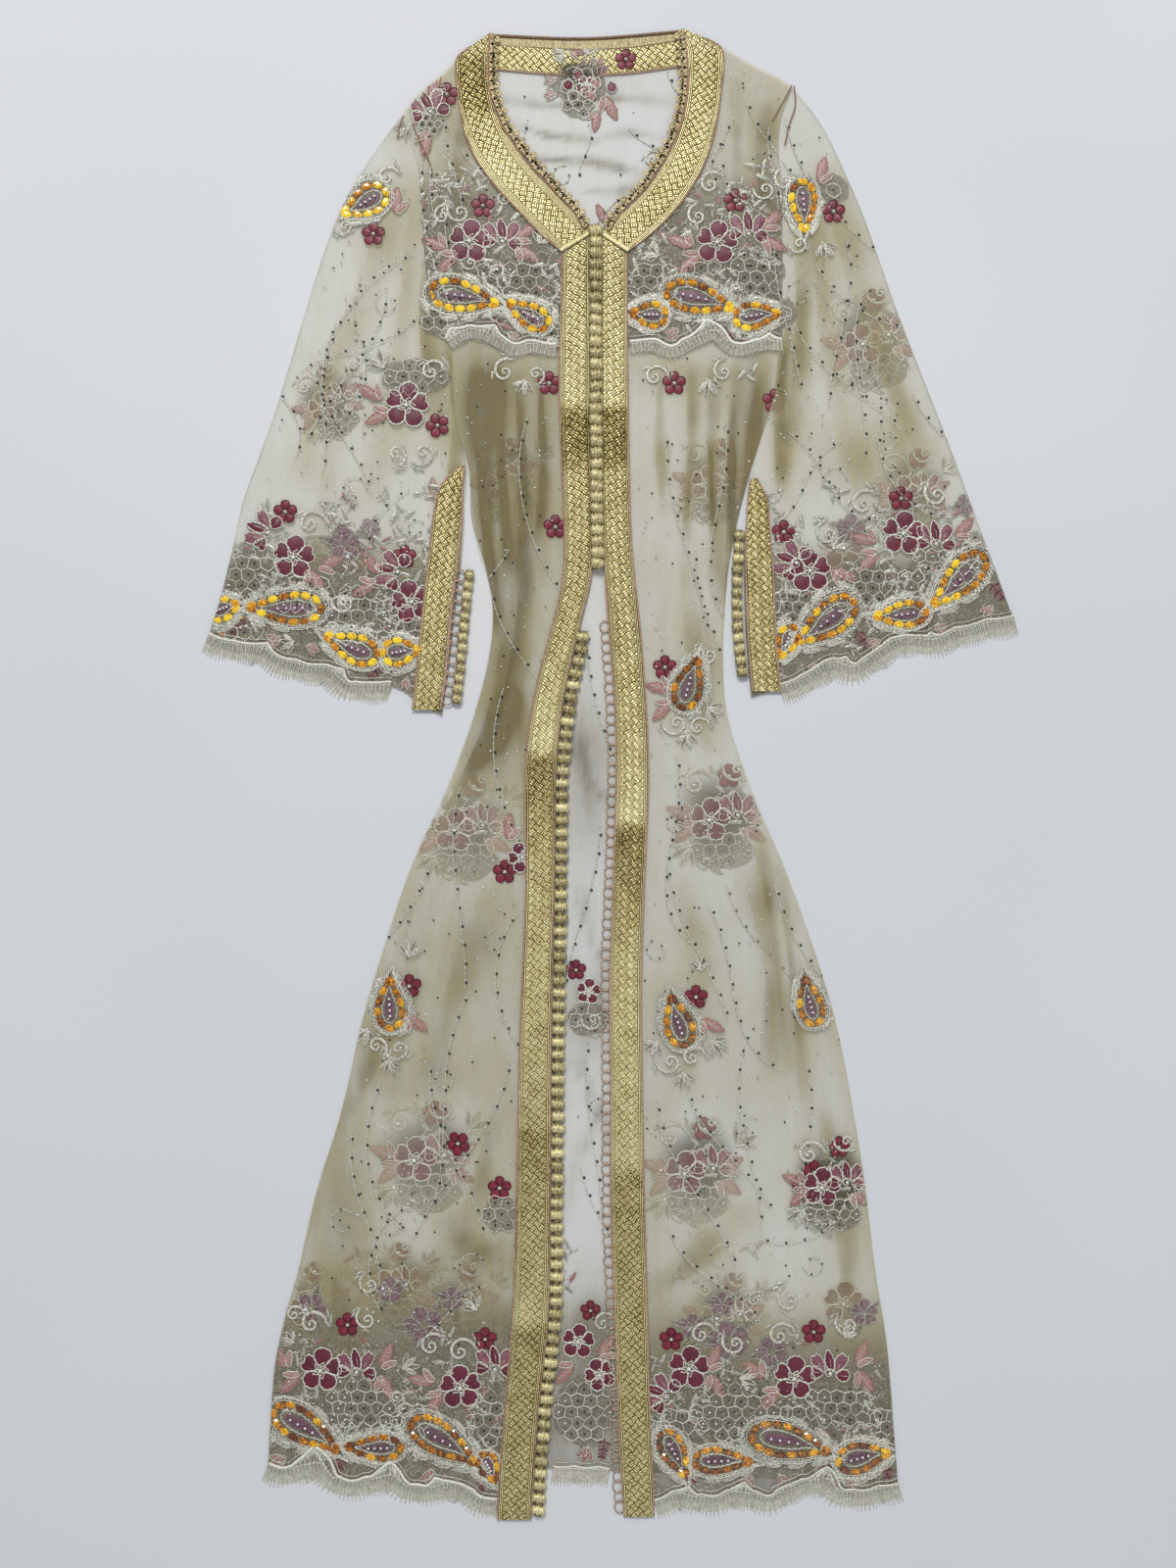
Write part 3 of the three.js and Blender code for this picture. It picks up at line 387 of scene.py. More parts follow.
def pad(sewing, outline, look, height=0.7, tint=0.5, rows=2):
    # a satin patch from its middle out to a closed outline
    columns = len(outline)
    unit, faces = gridOf(columns, rows)
    middle = np.mean(outline, axis=0)
    at = np.rint(unit[:, 0] * columns).astype(int) % columns
    out = unit[:, 1:2]
    flat = middle + (outline[at] - middle) * out
    points = np.concatenate([flat, height * (1 - out ** 2) + 0.15], axis=1)
    sewing.add(points, faces, look, unit, tint)


def stitched(sewing, shape, place, look, height, **edge):
    # a satin shape and its couched outline
    outline = moved(shape, *place)
    pad(sewing, outline, look, height)
    outlineOf(sewing, outline, **edge)


def cord(sewing, path, look, width=1.2, height=0.8, closed=False, tint=0.5, sides=3, ends=1.0, base=0.1):
    # a couched cord along a line, drawn in to `ends` of its width at both ends
    path = np.asarray(path, float)
    if closed:
        path = np.concatenate([path, path[:1]])
    columns = len(path) - 1
    unit, faces = gridOf(columns, sides)
    at = np.rint(unit[:, 0] * columns).astype(int)
    way = np.gradient(path[:, :2], axis=0)
    if closed:
        way[0] = way[-1] = path[1, :2] - path[-2, :2]
    way /= np.maximum(np.linalg.norm(way, axis=1, keepdims=True), 1e-9)
    angle = 2 * math.pi * (unit[:, 1] + 0.5 / sides)
    slim = 1 - (1 - ends) * np.abs(2 * unit[:, 0] - 1) ** 3
    aside = -np.sin(angle) * width / 2 * slim
    flat = path[at, :2] + np.stack([-way[at, 1], way[at, 0]], axis=1) * aside[:, None]
    up = height / 2 * (1 - np.cos(angle)) * slim + base
    if path.shape[1] > 2:
        up = up + path[at, 2]
    length = np.linalg.norm(np.diff(path[:, :2], axis=0), axis=1).sum()
    sewing.add(np.column_stack([flat, up]), faces, look, unit * [length / 3, 1], tint)


def bulb(sewing, x, y, radius, look, flatten=0.8, around=6, rows=3, tint=0.5, base=0.2):
    # a bead, pearl or stone: a turned profile closed at both poles
    unit, faces = gridOf(around, rows)
    angle, rise = unit[:, 0] * 2 * math.pi, unit[:, 1] * math.pi
    points = np.stack([np.cos(angle) * np.sin(rise) * radius, np.sin(angle) * np.sin(rise) * radius,
                       (1 - np.cos(rise)) * radius * flatten + base], axis=1)
    sewing.add(moved(points, x, y), faces, look, unit, tint)


def gem(sewing, x, y, turn, length=10.3, width=7.2, tint=0.5):
    # an oval stone: girdle, crown and table
    unit, faces = gridOf(8, 3)
    level = np.rint(unit[:, 1] * 3).astype(int)
    out = np.array([0.94, 1.0, 0.6, 0.0])[level]
    rise = np.array([0.2, 0.9, 2.1, 2.2])[level]
    angle = unit[:, 0] * 2 * math.pi
    points = np.stack([np.cos(angle) * out * length / 2, np.sin(angle) * out * width / 2, rise], axis=1)
    sewing.add(moved(points, x, y, turn), faces, "stone", unit, tint)


# Shapes of the embroidery, in millimetres about each one's own middle
def sampled(points, count):
    outline = ring(points, 6)
    return outline[np.linspace(0, len(outline), count, endpoint=False).astype(int)]


heartPetal = sampled([(0, 0), (-3.5, 3.2), (-6.2, 7.4), (-5.4, 11.6), (-2.4, 12.6), (0, 11.2),
                      (2.4, 12.8), (5.6, 11.4), (6.2, 7.2), (3.6, 3.2)], 18)
roundPetal = sampled([(0, 0), (-3.8, 2.8), (-6.0, 6.8), (-4.4, 11.2), (0, 12.8), (4.6, 11), (6.0, 6.6),
                      (3.8, 2.6)], 16)
uprightPetal = sampled([(0, 0), (-2.6, 5), (-5.0, 10), (-4.2, 15), (-1.4, 19.4), (0.8, 16.6), (3.4, 18.6),
                        (5.2, 13), (4, 6)], 16)
slimPetal = sampled([(0, 0), (-3.2, 5), (-3.4, 11), (-0.6, 17.4), (2.8, 12), (3.0, 5)], 14)
flameLeaf = sampled([(0, 0), (4, 3.6), (9, 5.2), (13, 4.6), (16, 5.6), (21, 3.4), (26, 0.4), (20, -2.6), (15, -4.4),
                     (11, -3.4), (6, -4.6), (2.6, -2.6)], 24)
slimLeaf = sampled([(-9, 0), (-4, 2.6), (2, 2.8), (9.4, 0.2), (3, -2), (-4, -2)], 12)
barb = sampled([(-3.2, 0), (0, 1.1), (3.2, 0), (0, -1.1)], 8)
dropLeaf = sampled([(-10, 0), (-5, 3.4), (1, 3.8), (9, 0), (2, -3.4), (-5, -3)], 14)


def bloomFrom(sewing, x, y, turn=0.0, size=1.0):
    # a five-petalled bloom seen from the front, silver-edged, with curled stamens and a pearl
    for i, aim in enumerate((-58, 14, 82, 152, 226)):
        start = offset(3.0 * size, 0, x, y, aim + turn)
        stitched(sewing, heartPetal if i % 2 else roundPetal,
                 (*start, aim + turn - 90, size * (1.42, 1.34, 1.48, 1.3, 1.42)[i]), "burgundy", 1.0)
        for off in (-15, 15):
            line = moved([(6.2, 0), (10.5, 0.4), (14.2, 0)], x, y, aim + turn + off, size)
            cord(sewing, np.column_stack([line, [0.6, 0.6, 0.3]]), "dusk", 0.7, 0.6, tint=0.8, ends=0.2)
    for aim in (10, 75, 140, 215, 290):
        curl = moved([(0.6, 0), (3.4, 1.6), (6.0, 1.0), (7.4, -1.0)], x, y, aim + turn, size)
        cord(sewing, run(curl, 3), "silver", 1.5, 1.7, tint=0.8)
        bulb(sewing, *offset(7.6, -1.2, x, y, aim + turn, size), 1.1, "silver", 0.9, 5, 2, tint=0.9, base=0.8)
    bulb(sewing, x, y, 2.2 * size, "pearl", 0.9, base=0.6)


def bloomSide(sewing, x, y, turn=0.0, size=1.0):
    # the same flower in profile
    parts = ((uprightPetal, -4.4, -7.4, 34, 1.1, "dusk"), (slimPetal, 2.4, -7.0, 10, 1.3, "burgundy"),
             (uprightPetal, 5.0, -7.4, -28, 1.12, "dusk"), (heartPetal, -5.0, -8.2, 84, 1.0, "burgundy"),
             (roundPetal, 6.2, -9.4, -94, 1.04, "burgundy"))
    for shape, left, up, aim, scale, look in parts:
        spot = offset(left, up, x, y, turn, size)
        stitched(sewing, shape, (*spot, aim + turn, scale * size), look, 1.0, width=1.8)
        rib = moved([(0, 3), (0.4, 8), (0, 13)], *spot, aim + turn, scale * size)
        cord(sewing, np.column_stack([rib, [0.7, 0.7, 0.5]]), "silver", 0.9, 0.7, tint=0.55, ends=0.2)
    swirl = [(math.cos(a) * (5.0 - 0.42 * a), math.sin(a) * (5.0 - 0.42 * a) - 8) for a in np.linspace(0.4, 7.4, 16)]
    cord(sewing, moved(swirl, x, y, turn, size), "silver", 1.5, 1.7, tint=0.8)
    bulb(sewing, *offset(0.4, -8, x, y, turn, size), 1.7 * size, "pearl", 0.9, base=0.4)


def smallFlower(sewing, x, y, turn=0.0, size=1.0):
    # five separate drop petals about a silver knot
    for i in range(5):
        aim = 90 + 72 * i + turn
        outline = moved(roundPetal, *offset(2.2 * size, 0, x, y, aim), aim - 90, 0.72 * size)
        pad(sewing, outline, "crimson", 0.5, 0.45 + 0.12 * (i % 3))
        cord(sewing, outline, "burgundy", 1.1, 0.9, closed=True, tint=0.35)
        vein = moved([(3.4, 0), (8.6, 0)], x, y, aim, size)
        cord(sewing, np.column_stack([vein, [0.7, 0.5]]), "dusk", 0.7, 0.4, tint=0.8)
    bulb(sewing, x, y, 1.7 * size, "silver", 0.7, tint=0.8)
    bulb(sewing, x, y, 0.9 * size, "pearl", 0.9, base=1.6)


def pinkLeaf(sewing, x, y, turn=0.0, size=1.0):
    # a long leaf with a smaller one beside it, each open along its vein
    foot = offset(-13, 0, x, y, turn, size)
    for aim, scale in ((6, 1.0), (-38, 0.66)):
        outline = moved(flameLeaf, *foot, turn + aim, size * scale)
        pad(sewing, outline, "rose", 0.8)
        outlineOf(sewing, outline, "silver" if scale < 1 else "rose", 1.4, 1.1, 0.9, 0.35)
        vein = moved([(2, 0), (9, 0.8), (16, 0.2), (23, 0.6)], *foot, turn + aim, size * scale)
        cord(sewing, np.column_stack([run(vein, 3), np.full(10, 0.5)]), "silver", 1.1, 0.9, tint=0.4, ends=0.3)


def silverSpray(sewing, x, y, turn=0.0, size=1.0):
    # slim leaves fanned from one foot
    for i, aim in enumerate((-46, -14, 20, 54)):
        outline = moved(slimLeaf, *offset(10.2 * size, 0, x, y, turn + aim), turn + aim,
                        size * (0.9, 1.15, 1.2, 0.95)[i])
        pad(sewing, outline, "lining" if i % 2 else "silver", 0.7, 0.25)
        outlineOf(sewing, outline, "silver", 1.3, 1.1, 0.8, 0.2)
    bulb(sewing, x, y, 1.5 * size, "pearl")


def fill(sewing, x, y, turn=0.0, size=1.0, pink=False):
    # loose stitches between the motifs: a short curl, a slim leaf and a few beads
    bend = np.linspace(0.3, 4.4, 9)
    curl = moved(np.stack([np.cos(bend), np.sin(bend)], axis=1) * (6.2 - 0.75 * bend)[:, None], x, y, turn, size)
    cord(sewing, curl, "silver", 1.3, 0.9, tint=0.35 + rng.uniform(-0.15, 0.2), ends=0.4)
    for i in range(3):
        outline = moved(slimLeaf, *offset(8.0, 0, x, y, turn + 96 * i, size), turn + 30 + 96 * i,
                        (0.8, 0.66, 0.72)[i] * size)
        pad(sewing, outline, ("silver", "lining", "rose")[i] if pink else "silver", 0.5, 0.2)
    for i in range(3):
        bulb(sewing, *offset(3.4, 0, x, y, turn + 120 * i, size), 0.85, "pearl", 0.8, 5, 2)


def scroll(sewing, x, y, turn=0.0, size=1.0, turns=1.5, width=2.9):
    # a broad couched band that curls in to a pearl
    bend = np.linspace(0, 2 * math.pi * turns, 30)
    reach = 16.5 * np.exp(-0.22 * bend)
    band = np.stack([np.cos(bend) * reach, np.sin(bend) * reach], axis=1)
    lead = [(18.5, -10.5), (16.2, -4.5)]
    path = moved(np.concatenate([run(lead + [tuple(band[0])], 4)[:-1], band]), x, y, turn, size)
    cord(sewing, path, "silver", width * size, 1.1, tint=0.42, sides=4, ends=0.3)
    side = np.gradient(path, axis=0)
    side = np.stack([-side[:, 1], side[:, 0]], axis=1) / np.linalg.norm(side, axis=1, keepdims=True)
    swell = (width * size / 2) * np.linspace(1.0, 0.5, len(path))[:, None]
    for sign in (-1, 1):
        cord(sewing, path + side * swell * sign, "silver", 1.1, 1.5, tint=0.7, ends=0.5)
    for k, aim in ((3, 40), (8, 30), (13, 20)):
        heading = math.degrees(math.atan2(path[k + 1, 1] - path[k, 1], path[k + 1, 0] - path[k, 0]))
        spot = offset(5.4 * size, -3.4 * size, *path[k], heading - aim)
        pad(sewing, moved(slimLeaf, *spot, heading - aim, 0.6 * size), "silver", 0.6, 0.3)
    bulb(sewing, *path[-1], 1.5 * size, "pearl")


def comb(sewing, x, y, wide=34.0, deep=20.0, turn=0.0, size=1.0, cell=12.4):
    # honeycomb of couched silver thread over a stitched ground, a bead or a sequin in each cell
    ground = lobed(wide + 4, deep + 4, 26, (0.06, 0.08), 4, x, y)
    pad(sewing, moved(ground, x, y, turn, size), "lining", 0.1, rows=4)
    side = cell / math.sqrt(3)
    seen = set()
    for row in range(-int(deep / cell) - 2, int(deep / cell) + 3):
        for column in range(-int(wide / cell) - 1, int(wide / cell) + 2):
            cx, cy = (column + 0.5 * (row % 2)) * cell, row * side * 1.5
            if (cx / wide) ** 2 + (cy / deep) ** 2 > 1 + 0.16 * math.sin(3 * column + 5 * row):
                continue
            corners = []
            for i in range(6):
                aim = math.radians(60 * i + 30)
                px, py = cx + side * math.cos(aim), cy + side * math.sin(aim)
                shift = math.sin(px * 1.7 + py * 2.3), math.cos(px * 2.1 - py * 1.3)
                corners.append((px + 1.15 * shift[0], py + 1.15 * shift[1]))
            for i in range(6):
                a, b = corners[i], corners[(i + 1) % 6]
                key = round((a[0] + b[0]) / 2), round((a[1] + b[1]) / 2)
                if key in seen:
                    continue
                seen.add(key)
                mid = (a[0] + b[0]) / 2 + 0.35 * math.sin(a[1] * 3), (a[1] + b[1]) / 2 + 0.35 * math.cos(a[0] * 3)
                cord(sewing, moved([a, mid, b], x, y, turn, size), "silver", 1.6, 1.0,
                     tint=0.6 + 0.25 * math.sin(cx + 2 * cy))
            spot = offset(cx, cy, x, y, turn, size)
            pick = (column * 7 + row * 5) % 5
            if pick in (0, 3):
                bulb(sewing, *spot, 1.2, "sequin", 0.5, 6, 2)
            elif pick in (1, 4):
                bulb(sewing, *spot, 1.25, "pearl", 0.9, 6, 3)


stonePitch = 10.4
# half lengths and half widths round a drop
dropEdge = [(-1.06, 0.1), (-0.7, 0.34), (-0.2, 0.82), (0.36, 1.0), (0.84, 0.66), (1.0, 0),
            (0.8, -0.68), (0.3, -0.94), (-0.24, -0.66), (-0.7, -0.24)]


def paisley(sewing, x, y, turn=0.0, long=70.0, wide=32.0, pale=0.5):
    # a stone-set drop: corded outlines, stones between them, a slim mauve leaf and clear beads
    a, b = long / 2, wide / 2
    edge = ring(np.array(dropEdge) * [a, b], 8)
    edge[:, 1] += 0.1 * wide * np.maximum(0, -edge[:, 0] / a) ** 2
    middle = np.array([0.24 * a, 0])

    def scaled(lengthwise, across):
        return moved(middle + (edge - middle) * [lengthwise, across], x, y, turn)

    pad(sewing, scaled(1.1, 1.16), "lining", 0.1, rows=3)
    for left, up, aim, scale in ((-0.72, 0.74, 32, 1.2), (-0.2, 1.16, 22, 1.1), (-0.66, -0.62, -30, 1.2),
                                 (0.34, 1.36, 4, 1.0), (-0.1, -1.08, -20, 1.1), (0.98, 0.86, -52, 1.0)):
        outline = moved(slimLeaf, *offset(left * a, up * b, x, y, turn), turn + aim, scale)
        pad(sewing, outline, "silver", 0.6, 0.3)
        outlineOf(sewing, outline, width=1.1, height=1.1, tint=0.7)
    outlineOf(sewing, scaled(1.1, 1.16), width=3.6, height=1.1, tint=0.4, jag=0.6)
    outlineOf(sewing, scaled(1.17, 1.26), width=1.3, height=1.6, tint=0.8)
    outlineOf(sewing, scaled(1.02, 1.02), width=1.2, height=1.5, tint=0.8)
    seat = scaled(0.86, 0.8)
    around = np.concatenate([seat, seat[:1]])
    reach = reachOf(around)
    count = int(reach[-1] / stonePitch)
    for i in range(count):
        at = (i + 0.5) * reach[-1] / count
        spot = [np.interp(at, reach, around[:, k]) for k in (0, 1)]
        ahead = [np.interp((at + 3) % reach[-1], reach, around[:, k]) for k in (0, 1)]
        aim = math.degrees(math.atan2(ahead[1] - spot[1], ahead[0] - spot[0]))
        gem(sewing, *spot, aim + rng.uniform(-12, 12), tint=pale + rng.uniform(-0.3, 0.3))
    outlineOf(sewing, scaled(0.62, 0.48), width=2.4, height=1.2, tint=0.4, jag=0.4)
    pad(sewing, scaled(0.52, 0.32), "mauve", 0.7)
    for k in (-0.26, -0.12, 0.02, 0.16):
        bulb(sewing, *offset(0.24 * a + k * long * 0.7, 0.02 * wide, x, y, turn), 1.45, "pearl", 0.9, base=0.7)


def sprig(sewing, x, y, turn=0.0, size=1.0):
    # small serrated dark-red sprig
    for i in range(5):
        for side in (-1, 1):
            spot = offset(i * 3.4 - 8, side * (3.3 - 0.4 * i), x, y, turn, size)
            pad(sewing, moved(barb, *spot, turn + side * 62, size), "dusk" if i % 2 else "burgundy", 0.6, 0.6)
    cord(sewing, moved([(-12, 0), (9, 0)], x, y, turn, size), "dusk", 1.2, 0.8)


def blush(sewing, x, y, turn=0.0, size=1.0):
    # pinkish-beige leaf patch worked in loose stitches
    for aim, scale in ((-28, 0.9), (6, 1.05), (40, 0.8)):
        outline = moved(dropLeaf, *offset(6 * size, 0, x, y, turn + aim), turn + aim, size * scale)
        pad(sewing, outline, "rose", 0.4, 0.2)
        outlineOf(sewing, outline, "silver", 1.2, 0.9, 0.5, 0.25)


def faded(sewing, x, y, turn=0.0, size=1.0):
    # a bloom whose threads are half hidden under a fold of the net
    for i in range(5):
        aim = 90 + 72 * i + turn
        outline = moved(heartPetal if i % 2 else roundPetal, *offset(3.0 * size, 0, x, y, aim), aim - 90, 1.36 * size)
        pad(sewing, outline, "faded", 0.3)
        cord(sewing, outline, "silver", 1.1, 0.5, closed=True, tint=0.2)
    for aim in (30, 165, 250):
        outline = moved(slimLeaf, *offset(19 * size, 0, x, y, aim + turn), aim + turn, 1.5 * size)
        pad(sewing, outline, "lining", 0.3)
        cord(sewing, outline, "silver", 1.0, 0.5, closed=True, tint=0.25)


def shadow(sewing, x, y, turn=0.0, size=1.0):
    # painted shade under a motif: two dark patches, one laid over the other
    for level in (0.3, 0.8):
        pad(sewing, moved(lobed(34, 15, 24, (0.1, 0.12), 3), x, y, turn, size), "haze", level, 0.35, rows=5)


def petals(sewing, x, y, turn=0.0, size=1.0):
    # loose dusky petals with silver edges, fallen from a bloom
    for left, up, aim, look in ((-24, 4, 100, "dusk"), (-10, 0, 74, "rose"), (5, 5, 110, "dusk"),
                                (19, 2, 66, "burgundy"), (-2, 13, 90, "rose"), (12, -9, 100, "dusk")):
        spot = offset(left, up, x, y, turn, size)
        outline = moved(roundPetal, *spot, aim + turn - 90, size * 0.95)
        pad(sewing, outline, look, 1.6)
        outlineOf(sewing, outline, width=1.6, height=2.2)


def cluster(sewing, x, y, turn=0.0, size=1.0):
    # the repeat that is scattered over the cloth: a pair of blooms with leaves, scrolls and honeycomb
    def at(left, up):
        return offset(left, up, x, y, turn, size)
    # a soft dark patch under the whole repeat: painted shade
    pad(sewing, moved(lobed(50, 46, 26, (0.1, 0.12), 3, x, y), x, y, turn, size), "haze", 0.0, rows=6)
    comb(sewing, *at(2, -34), 26, 15, turn, size)
    scroll(sewing, *at(-24, 30), turn + 30, size)
    scroll(sewing, *at(16, 44), turn + 190, 0.8 * size)
    for left, up, aim in ((-40, 4, 150), (-36, -16, 215), (36, 2, 24), (32, -20, 322)):
        pinkLeaf(sewing, *at(left, up), turn + aim, size)
    silverSpray(sewing, *at(-30, -30), turn + 225, size)
    silverSpray(sewing, *at(40, 22), turn + 40, size)
    bloomFrom(sewing, *at(-11, -5), turn, size)
    bloomSide(sewing, *at(16, 8), turn, size)
    smallFlower(sewing, *at(8, 38), turn, size)
    smallFlower(sewing, *at(-34, -2), turn, 0.9 * size)
    for left, up in ((-20, -16), (22, -10), (2, 18), (-8, -48)):
        fill(sewing, *at(left, up), turn + 7 * left, size)


def vine(sewing, x, y, turn=0.0, length=120.0, bend=0.4, curl=0.0):
    # a couched beaded thread with sequins along it; `curl` winds up its end
    count = int(length / 3)
    at = np.linspace(0, 1, count)
    aim = math.radians(turn) + bend * np.sin(at * 2.6) + curl * at ** 3
    step = length / count
    path = np.stack([x + np.cumsum(np.cos(aim)) * step, y + np.cumsum(np.sin(aim)) * step], axis=1)
    cord(sewing, path, "silver", 0.9, 0.6, tint=0.8)
    for i in range(0, count, 2):
        bulb(sewing, *path[i], 0.9, "pearl" if i % 4 else "silver", 0.8, 5, 2, tint=0.85)
    for i in range(3, count, 6):
        bulb(sewing, path[i, 0] + 1.4, path[i, 1] + 0.8, 1.5, "sequin", 0.35, 6, 2)


def curls(sewing, x, y, turn=0.0, size=1.0):
    # a thread curl with a ring of sequins
    bend = np.linspace(0, 5.2, 22)
    path = moved(np.stack([np.cos(bend) * 13, np.sin(bend) * 13], axis=1) * np.linspace(1, 0.6, 22)[:, None],
                 x, y, turn, size)
    cord(sewing, path, "silver", 1.0, 0.7, tint=0.7)
    for i in range(0, 22, 4):
        bulb(sewing, *path[i], 1.15, "sequin" if i % 8 else "silver", 0.35, 6, 2)


stitches = {"bloom": bloomFrom, "side": bloomSide, "small": smallFlower, "leaf": pinkLeaf, "spray": silverSpray,
            "scroll": scroll, "comb": comb, "paisley": paisley, "sprig": sprig, "blush": blush, "fill": fill,
            "shadow": shadow, "petals": petals, "faded": faded, "cluster": cluster, "vine": vine, "curls": curls}


# Cloth: every panel's outline and fall come from its solid, and its creases are listed
def rim(name, floor):
    # the outer loop of a solid's upper faces, anticlockwise seen from above, in millimetres
    made = bmesh.new()
    made.from_mesh(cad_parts[name].data)
    bmesh.ops.remove_doubles(made, verts=made.verts, dist=1e-5)
    made.normal_update()
    under = [f for f in made.faces if f.normal.z < 0.5 or f.calc_center_median().z < floor * mm]
    bmesh.ops.delete(made, geom=under, context="FACES")
    bmesh.ops.delete(made, geom=[v for v in made.verts if not v.link_faces], context="VERTS")
    after = {}
    for edge in (e for e in made.edges if len(e.link_faces) == 1):
        loop = next(c for c in edge.link_faces[0].loops if c.edge == edge)
        after[loop.vert] = loop.link_loop_next.vert
    first = next(iter(after))
    loop, at = [first], after[first]
    while at is not first:
        loop.append(at)
        at = after[at]
    outline = np.array([v.co for v in loop]) / mm
    tops = np.array([v.co for v in made.verts]) / mm
    made.free()
    return outline, tops


def laidOut(name, corner, cells, floor, steps):
    # the panel as rows of points from its hem up, smooth through the solid's own points
    across, down = cells
    loop, tops = rim(name, floor)
    loop = np.roll(loop, -int(np.argmin(np.linalg.norm(loop[:, :2] - corner, axis=1))), axis=0)
    left, hem = loop[:down + 1], loop[down:down + across + 1]
    right = loop[down + across:2 * down + across + 1][::-1]
    top = np.concatenate([loop[2 * down + across:], loop[:1]])[::-1]
    v, u = np.meshgrid(np.linspace(0, 1, down + 1), np.linspace(0, 1, across + 1), indexing="ij")
    u, v = u[..., None], v[..., None]
    rows = ((1 - u) * left[:, None] + u * right[:, None] + (1 - v) * top[None] + v * hem[None]
            - (1 - u) * (1 - v) * left[0] - u * (1 - v) * right[0] - (1 - u) * v * left[-1] - u * v * right[-1])
    gaps = np.linalg.norm(rows[:, :, None, :2] - tops[None, None, :, :2], axis=3)
    rows[..., 2] = tops[np.argmin(gaps, axis=2), 2]
    rows = run(rows, steps[1])
    rows = run(rows.swapaxes(0, 1), steps[0]).swapaxes(0, 1)
    return rows[::-1]


# how a crease rises and the shade painted on the net beside it, and how the net's density is bounded
netCut = {"rise": 1.3, "fold": 2.0, "ridge": 0.6, "sag": 0.4, "selvedge": 0.12, "most": 0.92,
          "backFolds": 0.55, "backCreaseShade": 3.0, "backCreaseShadeMost": 0.75, "welded": 2e-6, "above": 90.0}


def creased(rows, creases):
    # soft, uneven ridges and troughs along given lines: (line, half width, height, density)
    flat = rows.reshape(-1, 3)
    density = np.zeros(len(flat))
    for number, (line, width, height, dense) in enumerate(creases):
        path = run(np.array(line, float), 5)
        nearest = np.full(len(flat), 1e9)
        share, side = np.zeros(len(flat)), np.zeros(len(flat))
        for i, (a, b) in enumerate(zip(path[:-1], path[1:])):
            way = b - a
            t = np.clip(((flat[:, :2] - a) @ way) / (way @ way), 0, 1)
            off = flat[:, :2] - (a + t[:, None] * way)
            gap = np.linalg.norm(off, axis=1)
            near = gap < nearest
            nearest[near], share[near] = gap[near], ((i + t) / (len(path) - 1))[near]
            side[near] = np.sign(way[0] * off[:, 1] - way[1] * off[:, 0])[near]
        fade = np.clip(np.sin(math.pi * np.clip(share, 0, 1)), 0, 1) ** 0.6
        uneven = 1 + 0.28 * np.sin(11 * share + 1.7 * number) + 0.14 * np.sin(29 * share + number)
        spread = width * (1 + 0.3 * np.sin(7 * share + number)) * (1 + 0.35 * side)
        profile = np.exp(-(nearest / spread) ** 2) * fade * uneven
        flat[:, 2] += netCut["rise"] * height * profile
        # on one side of each crease the net is made denser and darker: painted shade beside the ridge
        shadowSide = np.exp(-((nearest - 0.7 * spread) / (0.8 * spread)) ** 2) * (side > 0)
        density += netCut["fold"] * dense * shadowSide * fade * uneven
        density += netCut["ridge"] * dense * profile
    return density


surfaces = {}


def layer(name, points, faces):
    surfaces[name] = BVHTree.FromPolygons([tuple(p) for p in points], [tuple(f) for f in faces])


def topOf(names, x, y):
    # the highest of these surfaces under a point, or none
    hits = [surfaces[name].ray_cast((x, y, netCut["above"]), (0, 0, -1))[0] for name in names]
    return max((hit.z for hit in hits if hit is not None), default=None)


def formOf(name):
    return name.split("_")[0]


def ramp(value, start, full):
    share = np.clip((value - start) / (full - start), 0, 1)
    return share * share * (3 - 2 * share)


def finishPiece(name, points, faces, materials, replaced=(), uv=None, values=None, looksOf=None):
    mesh = bpy.data.meshes.new(name)
    mesh.from_pydata((np.asarray(points) * mm).tolist(), [], np.asarray(faces).tolist())
    for material in materials:
        mesh.materials.append(looks[material])
    if looksOf is not None:
        mesh.polygons.foreach_set("material_index", np.array([materials.index(m) for m in looksOf], np.int32))
    if uv is not None:
        corners = np.zeros(len(mesh.loops), np.int32)
        mesh.loops.foreach_get("vertex_index", corners)
        mesh.uv_layers.new(name="run").data.foreach_set("uv", np.asarray(uv, np.float32)[corners].ravel())
    for key, share in (values or {}).items():
        mesh.attributes.new(key, "FLOAT", "POINT").data.foreach_set("value", np.asarray(share, np.float32))
    mesh.polygons.foreach_set("use_smooth", np.ones(len(mesh.polygons), bool))
    made = bmesh.new()
    made.from_mesh(mesh)
    bmesh.ops.remove_doubles(made, verts=made.verts, dist=netCut["welded"])
    made.to_mesh(mesh)
    made.free()
    if "stone" in materials:
        # the stones keep their facets
        for face in mesh.polygons:
            face.use_smooth = face.material_index != materials.index("stone")
    mesh.update()
    piece = bpy.data.objects.new(name, mesh)
    bpy.context.scene.collection.objects.link(piece)
    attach(piece, "root")
    if replaced:
        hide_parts(*replaced)
    return piece


def finishSewing(name, sewing, replaced=(), on=None):
    points, faces = np.concatenate(sewing.points), np.concatenate(sewing.faces)
    kinds = np.array(sewing.looks)
    runs, tints = np.concatenate(sewing.runs), np.concatenate(sewing.tints)
    if on is not None:
        held = np.ones(len(points), bool)
        for i, (x, y, _) in enumerate(points):
            top = topOf(on, x, y)
            held[i] = top is not None
            points[i, 2] += top or 0.0
        kept = held[faces].all(axis=1)
        faces, kinds = faces[kept], kinds[kept]
        used = np.unique(faces)
        renumber = np.zeros(len(points), int)
        renumber[used] = np.arange(len(used))
        points, runs, tints, faces = points[used], runs[used], tints[used], renumber[faces]
    materials = sorted(set(kinds))
    return finishPiece(name, points, faces, materials, replaced, runs, {"tint": tints}, kinds)


